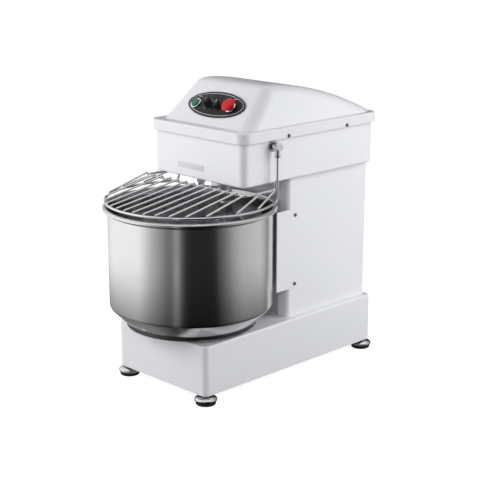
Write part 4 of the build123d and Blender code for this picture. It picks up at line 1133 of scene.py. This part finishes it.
# -------- studio
@dataclass
class Studio:
    """Floor, light and camera."""

    azimuth: float = 45.29
    elevation: float = 15.04
    distance: float = 3.2
    lens: float = 94.14
    aim: Vector = field(default_factory=lambda: Vector((0.007, 0.0116, -0.0355)))
    floor_size: float = 40.0
    floor_glow: float = 0.90
    heart: Vector = field(default_factory=lambda: Vector((0, 0, 0)))

    def back(self, turn: float = 0.0, rise: float | None = None) -> Vector:
        """A direction from the object, turned from the camera's by an angle in degrees."""
        a = radians(self.azimuth + turn)
        e = radians(self.elevation if rise is None else rise)
        return Vector((sin(a) * cos(e), -cos(a) * cos(e), sin(e)))

    def build(self, low: Vector, high: Vector) -> None:
        """Sets up the whole studio round the object's box."""
        centre = (low + high) / 2
        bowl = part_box("bowl")
        self.heart = (bowl[0] + bowl[1]) / 2
        self.camera(centre + self.aim)
        self.floor(low.z)
        self.world()
        self.lamps(centre)
        bpy.context.scene.view_settings.view_transform = "Standard"

    def camera(self, aim: Vector) -> None:
        """The camera, looking at a point."""
        data = bpy.data.cameras.new("camera")
        data.lens, data.sensor_width = self.lens, 36.0
        camera = bpy.data.objects.new("camera", data)
        camera.location = aim + self.back() * self.distance
        camera.rotation_mode = "QUATERNION"
        camera.rotation_quaternion = (-self.back()).to_track_quat("-Z", "Y")
        bpy.context.scene.collection.objects.link(camera)
        bpy.context.scene.camera = camera

    def floor(self, z: float) -> None:
        """A pale floor that shows nearly white and keeps a faint shadow; glossy rays see painted light on
        it, dimmed near the machine as painted shadow.

        Args:
            z: its height.
        """
        half = self.floor_size / 2
        mesh = bpy.data.meshes.new("floor")
        corners = [(x, y, z) for x, y in rectangle(2 * half, 2 * half)]
        mesh.from_pydata(corners, [], [(0, 1, 2, 3)])
        made = bpy.data.materials.new("pale_floor")
        graph = empty_graph(made)
        tone = graph.mix(graph.noise(graph.place(), 3.0), (0.34, 0.34, 0.34, 1), (0.36, 0.36, 0.36, 1))
        paint = graph.node("BsdfDiffuse", None, {"Color": tone})
        rays = graph.node("LightPath")
        parts = graph.split(graph.place())
        back = parts.part("Y") - self.heart.y
        away = graph.length(parts, back)
        white = graph.remap(away, (1.2, 5.0), (self.floor_glow, 0.99))
        glow = graph.node("Emission", None, {"Color": (1, 1, 1, 1), "Strength": rays * white})
        plain = graph.node("AddShader", None, {0: paint, 1: glow})
        # Painted shadow: glossy rays see the floor glow with the soft-box pattern as painted light, dimmed
        # near the machine.
        painted_shadow_near = graph.remap(away, (0.5, 1.3), (0.22, 1.12), "SMOOTHSTEP")
        shine = graph.node("Emission", None,
                           {"Color": self.walls(graph, parts, back), "Strength": painted_shadow_near})
        both = graph.node("MixShader", None, {0: rays.part("Is Glossy Ray"), 1: plain, 2: shine})
        graph.node("OutputMaterial", None, {"Surface": both})
        mesh.materials.append(made)
        floor = bpy.data.objects.new("floor", mesh)
        bpy.context.scene.collection.objects.link(floor)
        floor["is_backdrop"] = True

    def walls(self, graph: Graph, across: Shade, back: Shade) -> Shade:
        """How bright the studio is in a direction: two broad soft boxes with dark gaps between them.

        Args:
            graph: the tree that it is added to.
            across: the direction's X.
            back: its Y.

        Returns:
            A grey value.
        """
        turn = graph.angle(across, back)
        facing = radians(self.azimuth - 90.0)
        round_turn = graph.node("Math", {"operation": "WRAP"},
                                {0: turn - facing, 1: pi, 2: -pi})
        share = round_turn * (1 / TAU) + 0.5
        stops = [(0.0, 0.25), (0.12, 0.9), (0.17, 1.0), (0.31, 1.0), (0.36, 0.52), (0.40, 0.30),
                 (0.425, 0.16), (0.442, 0.14), (0.452, 0.42), (0.462, 0.36), (0.472, 0.08), (0.49, 0.02),
                 (0.595, 0.02), (0.605, 0.07), (0.64, 0.20), (0.66, 0.34), (0.70, 0.50), (0.80, 0.60),
                 (0.86, 0.25), (0.9, 0.06)]
        return graph.ramp(share, stops)

    def world(self) -> None:
        """White to the eye; to polished metal, a studio of bright boxes with dark gaps."""
        world = bpy.data.worlds.new("studio")
        bpy.context.scene.world = world
        graph = empty_graph(world)
        parts = graph.split(graph.node("TexCoord"))
        wall = self.walls(graph, parts, parts.part("Y"))
        over = graph.remap(parts.part("Z"), (0.55, 0.9), (0.0, 1.0), "SMOOTHSTEP")
        shiny = graph.mix(over, wall, (0.85, 0.86, 0.88, 1))
        rays = graph.node("LightPath")
        soft = graph.node("Background", None, {"Color": (0.95, 0.97, 1.0, 1), "Strength": 0.2})
        boxes = graph.node("Background", None, {"Color": shiny, "Strength": 1.0})
        plain = graph.node("Background", None, {"Color": (1, 1, 1, 1), "Strength": 1.0})
        lit = graph.node("MixShader", None, {0: rays.part("Is Glossy Ray"), 1: soft, 2: boxes})
        shown = rays + rays.part("Is Transmission Ray")
        final = graph.node("MixShader", None, {0: shown, 1: lit, 2: plain})
        graph.node("OutputWorld", None, {"Surface": final})

    def lamp(self, name: str, centre: Vector, turn: float, rise: float, reach: float, size: Point2,
             power: float) -> None:
        """A soft box that faces the object.

        Args:
            name: the lamp's name.
            centre: what it faces.
            turn: its place round the object, in degrees from the camera's.
            rise: its height, in degrees.
            reach: how far away it stands.
            size: its width and height.
            power: its power in watts.
        """
        data = bpy.data.lights.new(name, "AREA")
        data.shape = "RECTANGLE"
        data.size, data.size_y = size
        data.energy = power
        lamp = bpy.data.objects.new(name, data)
        away = self.back(turn, rise)
        lamp.location = centre + away * reach
        lamp.rotation_mode = "QUATERNION"
        lamp.rotation_quaternion = (-away).to_track_quat("-Z", "Y")
        lamp.visible_camera = False
        lamp.visible_glossy = False
        bpy.context.scene.collection.objects.link(lamp)

    def lamps(self, centre: Vector) -> None:
        """Left, right, front and top soft boxes."""
        self.lamp("left_box", centre, -86, 18, 2.6, (1.8, 2.2), 62)
        self.lamp("right_box", centre, 86, 18, 2.6, (1.8, 2.2), 55)
        self.lamp("front_fill", centre, 0, 20, 2.8, (1.4, 1.4), 18)
        self.lamp("top_box", centre, 10, 82, 2.4, (2.2, 2.2), 4.5)


def main() -> None:
    """Builds the mixer around its frame, sub-assembly by sub-assembly."""
    logging.basicConfig(level=logging.INFO, format="%(name)s: %(message)s")
    frame = Frame(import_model())
    low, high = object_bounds()
    for kind in (Cabinet, Feet, Bowl, Hook, Guard, ControlPanel, Drive):
        LOG.info("building %s", kind.__name__)
        kind(frame).build()
    Studio().build(low, high)


if __name__ == "__main__":
    main()
